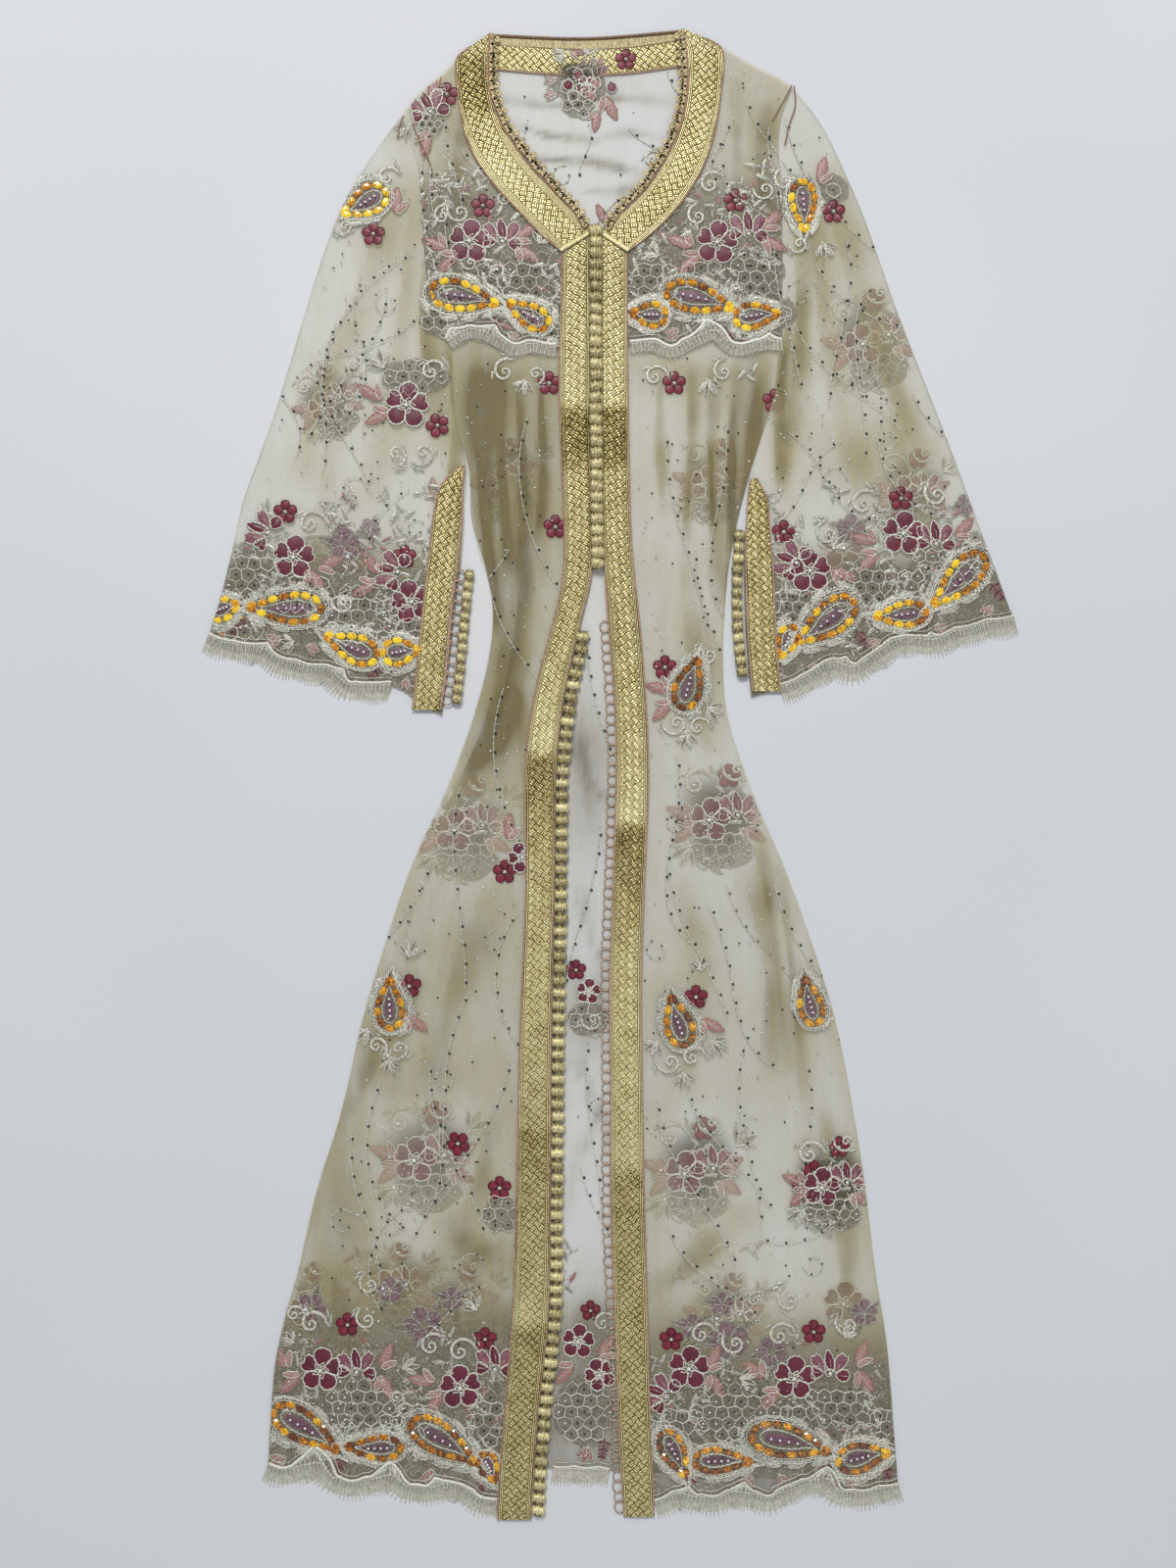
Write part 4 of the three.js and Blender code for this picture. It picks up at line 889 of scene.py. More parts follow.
# what the panels of one form share: the grid of the solid, its floor, the net's steps, how densely it
# lies and its worked border (heights where that starts and is full, added weight, grey)
forms = {
    "back": {"cells": (2, 38), "floor": 0.5, "steps": (26, 5), "weight": 0.19, "border": (-488, -566, 0.3, 0.7)},
    "skirt": {"cells": (15, 24), "floor": 2.0, "steps": (8, 9)},
    "bodice": {"cells": (8, 10), "floor": 3.2, "steps": (12, 14), "weight": 0.38, "border": (600, 530, 0.34, 0.9)},
    "sleeve": {"cells": (10, 12), "floor": 1.6, "steps": (10, 12), "border": (236, 182, 0.38, 0.85), "under": 0.6},
}
# each panel's own: the corner its outline is counted from and its creases (line, half width, height,
# density, which also sets the shade painted beside the crease)
panels = {
    "back": {"corner": (-114.1, 718.7), "creases": [
        ([(-110, 682), (-38, 687), (28, 679)], 5, 1.6, 0.16),
        ([(-114, 654), (-57, 647), (0, 654), (66, 649)], 4, 1.8, 0.18),
        ([(-100, 631), (-53, 618), (-10, 612)], 4, 1.4, 0.16), ([(-95, 598), (-29, 593), (38, 580)], 4, 2.0, 0.2),
        ([(-29, 567), (9, 563), (45, 573)], 4, 1.2, 0.14), ([(-19, 611), (19, 620), (66, 614)], 4, 1.2, 0.12),
        ([(-48, 88), (-29, 3), (7, -35)], 6, 1.4, 0.14), ([(-40, -102), (-19, -159), (5, -197)], 6, 1.2, 0.12),
        ([(-43, -273), (-19, -311), (1, -377)], 6, 1.2, 0.12), ([(-38, -434), (-23, -368), (0, -320)], 5, 1.0, 0.1)]},
    "skirt_left": {"corner": (-155.1, 436.7), "weight": 0.43, "border": (-490, -580, 0.34, 0.9), "creases": [
        ([(-135, 400), (-128, 307), (-120, 207), (-114, 136)], 7, 2.6, 0.22),
        ([(-114, 400), (-107, 307), (-101, 193)], 5, 2.0, 0.2), ([(-92, 397), (-86, 297), (-90, 183)], 5, 1.8, 0.16),
        ([(-69, 397), (-67, 307), (-72, 221)], 5, 1.6, 0.14),
        ([(-80, 221), (-95, 126), (-110, 50), (-128, 3)], 10, 3.2, 0.16),
        ([(-103, 145), (-118, 60), (-147, -7), (-171, -54)], 7, 2.4, 0.14),
        ([(-114, -92), (-143, -159), (-166, -235), (-181, -292)], 14, 2.6, 0.08),
        ([(-95, 88), (-84, -7), (-90, -102)], 6, 1.8, 0.06),
        ([(-181, -425), (-143, -459), (-95, -501)], 16, 4.2, 0.12),
        ([(-257, -349), (-217, -273), (-171, -197)], 12, 2.8, 0.1),
        ([(-110, -311), (-143, -415), (-209, -510)], 11, 2.6, 0.1),
        ([(-276, -472), (-262, -558), (-276, -643)], 10, 2.2, 0.08)]},
    "skirt_right": {"corner": (-8.1, 436.7), "weight": 0.32, "border": (-512, -600, 0.36, 0.9), "creases": [
        ([(76, 400), (76, 307), (70, 221)], 5, 1.8, 0.16), ([(96, 400), (96, 297), (102, 164)], 6, 2.2, 0.2),
        ([(118, 400), (115, 278), (112, 145)], 6, 2.6, 0.22),
        ([(142, 392), (130, 278), (119, 164), (115, 69)], 7, 2.8, 0.24),
        ([(49, 392), (45, 326), (52, 250)], 5, 1.4, 0.1), ([(66, 221), (77, 98), (91, 22)], 10, 3.0, 0.1),
        ([(133, -35), (144, -83), (158, -159), (171, -292)], 6, 2.6, 0.1),
        ([(125, -83), (142, -140), (152, -206), (142, -301)], 10, 3.0, 0.12),
        ([(161, -83), (176, -197), (185, -330)], 5, 2.2, 0.12),
        ([(38, -510), (95, -472), (161, -415)], 15, 4.0, 0.12), ([(57, -83), (76, -178), (66, -311)], 12, 2.2, 0.06),
        ([(199, -311), (218, -425), (229, -529)], 10, 2.4, 0.1),
        ([(114, -558), (133, -615), (123, -662)], 10, 1.8, 0.05)]},
    "bodice_left": {"corner": (-200.1, 638.7), "creases": [
        ([(-143, 649), (-151, 592), (-143, 525)], 8, 2.0, 0.12),
        ([(-162, 563), (-151, 487), (-157, 430)], 6, 1.6, 0.12),
        ([(-110, 535), (-95, 478), (-100, 421)], 8, 1.6, 0.06)]},
    "bodice_right": {"corner": (72.9, 722.7), "creases": [
        ([(147, 658), (142, 592), (152, 525)], 8, 2.0, 0.12), ([(115, 677), (121, 620), (118, 563)], 6, 1.4, 0.08),
        ([(76, 535), (66, 478), (76, 421)], 8, 1.6, 0.06)]},
    "sleeve_left": {"corner": (-200.1, 638.7), "weight": 0.21, "seamSide": "right", "slit": 300.0, "creases": [
        ([(-202, 601), (-238, 497), (-284, 373), (-314, 278)], 14, 3.0, 0.08),
        ([(-171, 573), (-183, 449), (-171, 307)], 10, 3.0, 0.14),
        ([(-190, 611), (-198, 506), (-217, 373), (-257, 240)], 12, 2.6, 0.06),
        ([(-160, 430), (-151, 345), (-160, 259)], 6, 2.4, 0.16),
        ([(-266, 354), (-285, 259), (-304, 164)], 12, 2.0, 0.05),
        ([(-211, 259), (-217, 183), (-209, 98)], 10, 2.0, 0.06)]},
    "sleeve_right": {"corner": (167.9, 420.7), "weight": 0.22, "seamSide": "left", "slit": 288.0, "creases": [
        ([(201, 592), (229, 487), (270, 373), (313, 278)], 14, 3.0, 0.08),
        ([(176, 573), (182, 449), (171, 316)], 10, 3.0, 0.14),
        ([(185, 601), (199, 487), (210, 373), (247, 240)], 12, 2.6, 0.06),
        ([(171, 440), (161, 354), (163, 269)], 6, 2.4, 0.16), ([(266, 354), (294, 259), (323, 183)], 12, 2.0, 0.05)]},
}

# softer, wider places where the cloth lies crumpled and denser, and is painted darker as shade:
# (x, y, half width, half height, added weight)
crumpledAndShaded = {
    "back": [
        (-19, -225, 26, 46, 0.2), (-19, 3, 24, 84, 0.2), (-15, -548, 30, 56, 0.3), (-23, 677, 40, 20, 0.12)],
    "skirt_left": [
        (-116, 368, 28, 42, 0.42), (-135, 297, 14, 80, 0.2), (-86, 259, 30, 74, 0.24), (-62, 345, 14, 56, 0.14),
        (-110, 174, 22, 56, 0.2), (-114, 98, 32, 46, 0.14), (-181, -301, 34, 24, 0.1), (-138, -47, 42, 46, -0.24),
        (-209, -670, 64, 14, 0.3), (-176, -366, 46, 48, -0.27), (-257, -420, 26, 84, 0.18),
        (-209, -501, 46, 30, 0.08), (-157, -525, 56, 22, 0.06), (-162, -439, 60, 50, -0.1), (-72, -368, 16, 56, 0.1),
        (-95, -529, 28, 28, 0.14), (-110, 22, 26, 46, 0.16)],
    "skirt_right": [
        (144, 345, 18, 74, 0.42), (129, 221, 13, 100, 0.2), (76, 392, 56, 18, 0.14), (109, -37, 42, 48, -0.2),
        (85, -379, 46, 50, -0.2), (96, 88, 28, 46, 0.12), (66, -235, 30, 46, 0.12), (194, -216, 22, 46, 0.16),
        (235, -392, 24, 64, 0.1), (49, -387, 14, 100, 0.12), (66, -525, 56, 30, 0.12), (199, -525, 56, 26, 0.06),
        (262, -510, 16, 74, 0.08), (171, -449, 60, 50, -0.1), (49, 145, 16, 80, 0.08)],
    "bodice_left": [
        (-119, 516, 54, 36, 0.16), (-152, 611, 20, 64, 0.1), (-76, 449, 36, 36, 0.12)],
    "bodice_right": [
        (118, 520, 54, 36, 0.16), (152, 611, 20, 56, 0.12)],
    "sleeve_left": [
        (-192, 359, 38, 40, 0.12), (-160, 440, 12, 100, 0.2), (-175, 639, 28, 36, 0.24), (-236, 539, 36, 30, 0.08)],
    "sleeve_right": [
        (256, 425, 42, 56, 0.08), (213, 520, 28, 56, 0.1), (171, 373, 12, 84, 0.24), (239, 307, 46, 36, 0.14),
        (289, 326, 36, 56, 0.08)],
}
# the sleeve's inner edge eases over the gap beside the body: (shift, height it starts, height it ends)
eased = {"sleeve_left": (7.0, 440.0, 268.0), "sleeve_right": (-7.0, 440.0, 268.0)}
clothRows = {}
nets = {}
for name, own in panels.items():
    panel = forms[formOf(name)] | own
    rows = laidOut(name, panel["corner"], panel["cells"], panel["floor"], panel["steps"])
    if name in eased:
        shift, above, below = eased[name]
        share = np.linspace(0, 1, rows.shape[1]) if shift > 0 else np.linspace(1, 0, rows.shape[1])
        rise = np.clip((above - rows[..., 1]) / (above - below), 0, 1)
        rows[..., 0] += shift * share ** 4 * np.sin(math.pi * rise) ** 0.7
    foot = rows[..., 2].copy()
    density = creased(rows, panel["creases"]).reshape(foot.shape)
    rows[..., 2] = np.maximum(rows[..., 2], foot - netCut["sag"])
    high, wide = rows.shape[0] - 1, rows.shape[1] - 1
    start, full, more, grey = panel["border"]
    band = ramp(rows[..., 1], start, full)
    edge = np.minimum(np.arange(wide + 1), np.arange(wide + 1)[::-1])[None, :] < 1
    if name == "back":
        density *= netCut["backFolds"]
    for cx, cy, rx, ry, added in crumpledAndShaded[name]:
        density += added * np.exp(-((rows[..., 0] - cx) / rx) ** 2 - ((rows[..., 1] - cy) / ry) ** 2)
    weight = np.minimum(panel["weight"] + density + more * band + netCut["selvedge"] * edge, netCut["most"])
    clothRows[name] = rows
    unit, faces = gridOf(wide, high)
    i, j = np.rint(unit[:, 1] * high).astype(int), np.rint(unit[:, 0] * wide).astype(int)
    points = rows[i, j]
    layer(name, points, faces)
    worked = grey * band
    # on the back the net is painted grey along its creases and crumples, as painted shade
    creaseShade = np.clip(netCut["backCreaseShade"] * density, 0, netCut["backCreaseShadeMost"])
    greyed = np.maximum(worked, creaseShade) if name == "back" else worked
    values = {"weight": weight[i, j], "greyed": greyed[i, j], "worked": worked[i, j]}
    if "under" in panel:
        # the sleeve's under side closes it to a tube, open at both ends and at the slit
        under = rows.copy()
        under[..., 2] = panel["under"] + 0.25 * np.sin(rows[..., 0] / 19) * np.sin(rows[..., 1] / 31)
        low = under[i, j]
        layer(name + "_under", low, faces)
        points = np.concatenate([points, low])
        values = {key: np.concatenate([share, share * 0.9]) for key, share in values.items()}
        slitColumn = {"left": 0, "right": wide}[panel["seamSide"]]
        for column in (0, wide):
            parted = (rows[:, column, 1] < panel["slit"]) & (column == slitColumn)
            shut = (j == column) & ~parted[i]
            middle = (rows[i, j][:, 2] + low[:, 2]) / 2
            points[:len(low)][shut, 2] = middle[shut]
            points[len(low):][shut, 2] = middle[shut]
        faces = np.concatenate([faces, faces[:, ::-1] + len(low)])
    nets[name] = finishPiece("net_" + name, points, faces, ["net"], [name], None, values)
print("cloth laid")


# Braids: a woven strip between the long sides of its solid, with a piped cord down each edge
def ladder(name, floor):
    loop = rim(name, floor)[0]
    half = len(loop) // 2
    best = min(range(len(loop)), key=lambda s: sum(
        np.linalg.norm(loop[(s + i) % len(loop)] - loop[(s - 1 - i) % len(loop)]) for i in range(half)))
    near = np.array([loop[(best + i) % len(loop)] for i in range(half)])
    far = np.array([loop[(best - 1 - i) % len(loop)] for i in range(half)])
    if near[:, 0].mean() > far[:, 0].mean():
        near, far = far, near
    if near[0, 1] < near[-1, 1]:
        near, far = near[::-1], far[::-1]
    return run(np.stack([near, far], axis=1), braidCut["steps"])


braidCut = {"steps": 5, "columns": 8, "crown": 0.7, "piping": 1.7, "sunk": 0.9, "sunkAtBack": 1.8}
# tone: painted light and shade along the braid, bright where it rises and dark where it dips in a fold,
# by height on the robe
braids = {
    "braid_neck_left": {"floor": 4.2, "tone": [(706, 0.5), (687, 0.14), (653, 0.14), (630, 0.46),
                                               (592, 0.72), (549, 0.62), (516, 0.5)]},
    "braid_neck_right": {"floor": 4.2, "tone": [(715, 0.62), (682, 0.42), (639, 0.5), (596, 0.6),
                                                (563, 0.52), (516, 0.55)]},
    "back_neck_band": {"floor": 2.0, "tone": [(715, 0.5), (677, 0.55)]},
    "braid_front_left": {"floor": 3.0, "tone": [
        (525, 0.55), (440, 0.6), (361, 0.74), (354, 0.16), (303, 0.2), (293, 0.55), (183, 0.5),
        (107, 0.6), (23, 0.86), (18, 0.2), (-9, 0.3), (-73, 0.56), (-197, 0.66),
        (-339, 0.58), (-345, 0.26), (-364, 0.36), (-415, 0.5), (-501, 0.6), (-522, 0.85), (-539, 0.3),
        (-563, 0.46), (-715, 0.52)]},
    "braid_front_right": {"floor": 3.0, "tone": [
        (525, 0.55), (440, 0.6), (361, 0.74), (354, 0.14), (303, 0.18), (293, 0.5), (88, 0.55),
        (12, 0.68), (-43, 0.85), (-50, 0.2), (-102, 0.34), (-178, 0.68), (-377, 0.72),
        (-387, 0.32), (-402, 0.44), (-577, 0.5), (-715, 0.55)]},
    "braid_cuff_left": {"floor": 3.6, "tone": [(278, 0.4), (183, 0.5), (50, 0.46)]},
    "braid_cuff_right": {"floor": 3.6, "tone": [(278, 0.4), (183, 0.44), (69, 0.5)]},
}
woven, braidRows, pipings = {}, {}, {}
for name, braid in braids.items():
    rows = ladder(name, braid["floor"])
    braidRows[name] = rows
    count = len(rows) - 1
    unit, faces = gridOf(braidCut["columns"], count)
    i = np.rint(unit[:, 1] * count).astype(int)
    across = unit[:, :1]
    points = rows[i, 0] * (1 - across) + rows[i, 1] * across
    points[:, 2] += braidCut["crown"] * (1 - (2 * unit[:, 0] - 1) ** 4) - 0.35
    reach = reachOf(rows.mean(axis=1))
    width = np.linalg.norm(rows[:, 1] - rows[:, 0], axis=1)
    mapped = np.stack([(unit[:, 0] - 0.5) * width[i], reach[i]], axis=1)
    # the braid's tint is its painted light and shade, read from the tone table by height
    heights, litAndShaded = zip(*sorted(braid["tone"]))
    tint = np.interp(points[:, 1], heights, litAndShaded)
    faces = facingUp(points, faces)
    layer(name, points, faces)
    woven[name] = finishPiece(name.replace("braid", "woven").replace("back", "woven_back"), points, faces, ["braid"],
                              [name], mapped, {"tint": tint})
    piping = Sewing()
    for side in (0, 1):
        sunk = braidCut["sunkAtBack" if name == "back_neck_band" else "sunk"]
        line = along(np.column_stack([rows[:, side, :2], rows[:, side, 2] - sunk]), 4.0)
        cord(piping, line, "piping", braidCut["piping"], 1.6, sides=6)
    pipings[name] = finishSewing("piping_" + name, piping)
# the neck braids' ends are folded under in a ridge, and a facing closes the V between them
mitres = Sewing()
for side in ("left", "right"):
    rows = braidRows["braid_neck_" + side]
    end = min((rows[0], rows[-1]), key=lambda row: row[:, 1].mean())
    ridge = along(np.column_stack([end[:, :2], end[:, 2] + 0.2]), 3.0)
    cord(mitres, ridge, "knot", 4.6, 2.0, sides=8, tint=0.85, base=-0.7)
closing = sampled([(-27, 533), (-6, 533), (-8, 516), (-11, 500), (-22, 500), (-24, 516)], 18)
closed = Sewing()
pad(closed, closing, "facing", 0.6, 0.6, rows=3)
for points in closed.points:
    points[:, 2] += 2.5
mitres.add(closed.points[0], closed.faces[0], "facing", closed.runs[0] * 6, 0.6)
finishSewing("mitres_of_the_neck", mitres)
print("braids laid")


# Thread knots, cord loops and the tatted edge: each line is read off its solid
def lineOf(name, spacing=7.0):
    corners = np.array([v.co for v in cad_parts[name].data.vertices]) / mm
    low, high = corners[:, 1].min(), corners[:, 1].max()
    marks = np.arange(low + spacing, high - spacing / 2, spacing)
    line = []
    for mark in marks:
        near = corners[np.abs(corners[:, 1] - mark) < spacing]
        line.append([(near[:, 0].min() + near[:, 0].max()) / 2, mark, near[:, 2].min()])
    line[0][1], line[-1][1] = low + 4.0, high - 4.0
    return np.array(line)[::-1]


def knot(sewing, x, y, z, aim, wide, tall):
    # a barrel of wound thread: three fat turns round a stem
    unit, faces = gridOf(10, 8)
    share = unit[:, 1]
    angle = unit[:, 0] * 2 * math.pi
    reach = np.sin(math.pi * share) ** 0.2 * (1 + 0.15 * np.cos(share * 6 * math.pi + math.pi))
    uneven = 1 + 0.13 * np.sin(2 * angle + share * 15 + y)
    points = np.stack([(share - 0.5) * wide, np.cos(angle) * reach * tall / 2 * uneven,
                       np.sin(angle) * reach * tall / 2 * uneven * 0.86 + tall * 0.43], axis=1)
    points = moved(points, x, y, aim)
    points[:, 2] += z
    sewing.add(points, faces, "knot", unit[:, ::-1] * [0.9, 1.5], 0.5 + rng.uniform(-0.15, 0.15))


def stations(line, count):
    # the middle of each equal share of a line, and how the line runs there in degrees
    reach = reachOf(line[:, :2])
    for k in range(count):
        at = (k + 0.5) * reach[-1] / count
        spot, ahead, behind = ([np.interp(at + step, reach, line[:, i]) for i in range(3)] for step in (0, 3, -3))
        yield spot, math.degrees(math.atan2(ahead[1] - behind[1], ahead[0] - behind[0]))


knotRows = {
    # ahead: how far the row runs on under the neck braid; stem: the tone of the cord, dark unless set, as painted
    # shade between the knots; steady: how askew, in degrees
    "buttons_closed": {"count": 31, "wide": 13.8, "tall": 11.8, "lift": 0.5, "ahead": 21.0, "stem": 0.5},
    "buttons_front": {"count": 72, "wide": 14.6, "tall": 9.2, "lift": 0.0, "steady": 4},
    "buttons_cuff_left": {"count": 13, "wide": 10.0, "tall": 9.0, "lift": 0.1},
    "buttons_cuff_right": {"count": 13, "wide": 12.0, "tall": 9.6, "lift": 0.1},
}
for name, row in knotRows.items():
    line = lineOf(name)
    if "ahead" in row:
        line = np.concatenate([line[:1] + [0, row["ahead"], 1.2], line])
    sewing = Sewing()
    for (x, y, z), course in stations(line, row["count"]):
        aim = course + 90 + rng.uniform(-1, 1) * row.get("steady", 15)
        knot(sewing, x + rng.uniform(-0.5, 0.5), y, z + row["lift"], aim, row["wide"] * rng.uniform(0.94, 1.06),
             row["tall"] * rng.uniform(0.94, 1.05))
    # the stem cord shows only between the knots and is painted dark there, as shade
    stem = np.column_stack([line[:, :2], line[:, 2] + row["lift"] + 0.6])
    cord(sewing, along(stem, 5), "knot", 7.4, 4.4, sides=6, tint=row.get("stem", 0.14))
    finishSewing("knots_" + name.replace("buttons_", ""), sewing, [name])

loopRows = {
    "loops_front": {"count": 87, "radius": 4.2, "thick": 1.3, "aside": 1},
    "loops_cuff_left": {"count": 13, "radius": 4.3, "thick": 1.5, "aside": -1},
}
for name, row in loopRows.items():
    line = lineOf(name)
    sewing = Sewing()
    for (x, y, z), course in stations(line, row["count"]):
        turn = rng.uniform(-14, 14)
        oval = np.array([(math.cos(a) * row["radius"] * 1.12, math.sin(a) * row["radius"] * 1.34) for a in
                         np.linspace(0, 2 * math.pi, 12, endpoint=False)])
        oval = moved(oval, x + rng.uniform(-0.4, 0.4), y, turn, rng.uniform(0.92, 1.06))
        cord(sewing, np.column_stack([oval, np.full(12, z - 0.1)]), "loop", row["thick"], 1.9, closed=True, sides=5)
        near, far = (x + row["aside"] * (row["radius"] + out) for out in (0.0, 3.4))
        foot = [(near, y), (far, y + rng.uniform(-1, 1))]
        cord(sewing, np.column_stack([foot, [z, z]]), "loop", 2.2, 1.8, sides=5)
    edge = np.column_stack([line[:, 0] + row["aside"] * (row["radius"] + 1.2), line[:, 1], line[:, 2]])
    cord(sewing, along(edge, 4), "loop", 1.8, 1.8, sides=6)
    finishSewing("cords_" + name.replace("loops_", ""), sewing, [name])

picotCut = {"pitch": 9.0, "ring": 2.3, "thick": 3.1}
for side, sign in (("left", 1), ("right", -1)):
    name = "neck_edging_" + side
    line = along(lineOf(name, 9.0), picotCut["pitch"] / 3)
    sewing = Sewing()
    cord(sewing, line, "piping", 2.0, 2.0, sides=6)
    way = waysOf(line)
    inward = np.stack([-way[:, 1], way[:, 0]], axis=1) * sign
    for k in range(1, len(line) - 1, 3):
        # each picot is three small rings of gold thread
        for off, out, size in ((0, 5.8, 1.0), (-1, 2.2, 0.9), (1, 2.2, 0.9)):
            spot = line[min(max(k + off, 0), len(line) - 1)]
            place = spot[:2] + inward[k] * out + rng.uniform(-0.4, 0.4, 2)
            eye = [(place[0] + math.cos(a) * picotCut["ring"] * size, place[1] + math.sin(a) * picotCut["ring"] * size,
                    spot[2] + 0.4) for a in np.linspace(0, 2 * math.pi, 7, endpoint=False)]
            cord(sewing, eye, "picot", picotCut["thick"], 1.9, closed=True, sides=4, tint=0.5 + 0.5 * rng.random())
    finishSewing("edging_neck_" + side, sewing, [name])
print("knots, loops and neck edge made")


# Hems: a satin scallop over the cut edge and the comb of fringe threads under it
hemForms = {
    "skirt": {"long": 19.0},
    "back": {},
    "bodice": {"long": 12.0, "thick": 3.0, "comb": 8.0, "tone": 0.8, "pitch": 30.0},
    "sleeve": {"long": 19.0, "comb": 5.0, "thick": 2.8, "pitch": 32.0},
}
# points: where a scallop rises highest, (x, y, height)
hems = {
    "skirt_left": {"comb": 3.4, "thick": 3.4, "pitch": 27.0,
                   "points": [(-284, -653, 17), (-212, -672, 13), (-165, -672, 8)]},
    "skirt_right": {"comb": 3.2, "thick": 2.2, "pitch": 26.0,
                    "points": [(76, -672, 8), (130, -672, 10), (210, -672, 12)]},
    "back": {"long": 17.0, "thick": 2.4, "pitch": 24.0, "points": []},
    "bodice_left": {"points": [(-148, 430, 8), (-114, 425, 9)]},
    "bodice_right": {"points": [(98, 435, 12), (156, 421, 7)]},
    "sleeve_left": {"points": [(-333, 136, 7), (-262, 107, 8)]},
    "sleeve_right": {"points": [(228, 107, 8), (313, 131, 7)]},
}
fringeCut = {"pitch": 2.4, "thread": 0.85, "tape": 0.76, "start": 0.6}  # start: where in a scallop the hem begins
hemStep = 2.0
hemPieces, threadPieces = {}, {}
for name, own in hems.items():
    hem = hemForms[formOf(name)] | own
    low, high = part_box("fringe_" + name)
    line = along(clothRows[name][0], hemStep)
    line = line[(line[:, 0] > low.x / mm - 1) & (line[:, 0] < high.x / mm + 1)]
    way = waysOf(line)
    down = np.stack([way[:, 1], -way[:, 0]], axis=1)
    reach = np.arange(len(line)) * hemStep
    wave = np.abs(np.sin(math.pi * reach / hem["pitch"] + fringeCut["start"]))
    rise = 1.6 + 1.8 * (1 - wave)
    for at, _, tall in hem["points"]:
        rise = np.maximum(rise, tall * np.exp(-np.abs(line[:, 0] - at) / (0.55 * tall + 3)))
    satin = Sewing()
    path = np.column_stack([line[:, :2] - down * (rise + 1.0)[:, None], line[:, 2] + 0.1])
    cord(satin, path, "satin", hem["thick"], 1.4, sides=5, tint=hem.get("tone", 0.6))
    upper = np.column_stack([line[:, :2] - down * (rise + 5.4)[:, None], line[:, 2] + 0.2])
    cord(satin, upper, "silver", 1.3, 1.1, tint=0.6)
    for at, _, tall in hem["points"]:
        # under each point the scallop is worked in long stitches that fan out from it
        k = int(np.argmin(np.abs(line[:, 0] - at)))
        apex = path[k, :2] - down[k] * 1.0
        for step in np.linspace(-0.62 * tall, 0.62 * tall, 13):
            foot = min(max(k + int(round(step)), 0), len(line) - 1)
            bottom = line[foot, :2] - down[foot] * 0.6
            start = apex + (bottom - apex) * 0.1
            stitch = np.array([[*start, line[k, 2] + 0.2], [*(apex * 0.45 + bottom * 0.55), line[k, 2] + 0.5],
                               [*bottom, line[foot, 2] + 0.2]])
            cord(satin, stitch, "satin", 1.3, 0.8, tint=0.55, ends=0.4)
    for k in range(len(line) if "comb" in hem else 0):
        top = path[k] + [*(down[k] * 1.2), 0.1]
        end = line[k] + [*(down[k] * hem["comb"]), 0.3]
        cord(satin, np.array([top, (top + end) / 2 + [0, 0, 0.3], end]), "satin", 1.0, 0.8,
             tint=0.75 if k % 2 else 0.25)
    hemPieces[name] = finishSewing("satin_hem_" + name, satin)
    threads = Sewing()
    spots = along(np.column_stack([line[:, :2] - down * (0.6 + 1.2 * (1 - wave))[:, None], line[:, 2]]),
                  fringeCut["pitch"])
    ways = waysOf(spots)
    rest = 3.4 if name.startswith("bodice") else 0.5
    for k, spot in enumerate(spots):
        off = np.array([ways[k, 1], -ways[k, 0]])
        sway = 0.9 * math.sin(k * 0.21) + rng.uniform(-0.25, 0.25)
        scallop = abs(math.sin(k * fringeCut["pitch"] * math.pi / hem["pitch"] + fringeCut["start"]))
        length = hem["long"] * (0.8 + 0.2 * scallop) * rng.uniform(0.96, 1.02)
        steps = []
        for share in (0.0, 0.35, 0.7, 1.0):
            flat = spot[:2] + off * length * share + ways[k] * sway * share * 1.6
            steps.append([flat[0], flat[1], spot[2] + (rest - spot[2]) * min(1.0, share * 1.3)])
        cord(threads, steps, "fringe", fringeCut["thread"], fringeCut["thread"], base=0.0)
    ribbon = np.column_stack([spots[:, :2], spots[:, 2] - 0.2])
    cord(threads, ribbon, "fringe", 2.4, 0.7, sides=4)
    # the knitted tape that holds the threads shows between them as a pale veil
    unit, faces = gridOf(len(spots) - 1, 3)
    i, share = np.rint(unit[:, 0] * (len(spots) - 1)).astype(int), unit[:, 1] * fringeCut["tape"]
    off = np.stack([ways[i, 1], -ways[i, 0]], axis=1) * (hem["long"] * share)[:, None]
    height = spots[i, 2] + (rest - spots[i, 2]) * np.minimum(1.0, share * 1.3) - 0.1
    tape = np.column_stack([spots[i, :2] + off, height])
    threads.add(tape, facingUp(tape, faces), "veil", unit)
    threadPieces[name] = finishSewing("threads_" + name, threads, ["fringe_" + name])
print("hems and fringes made")


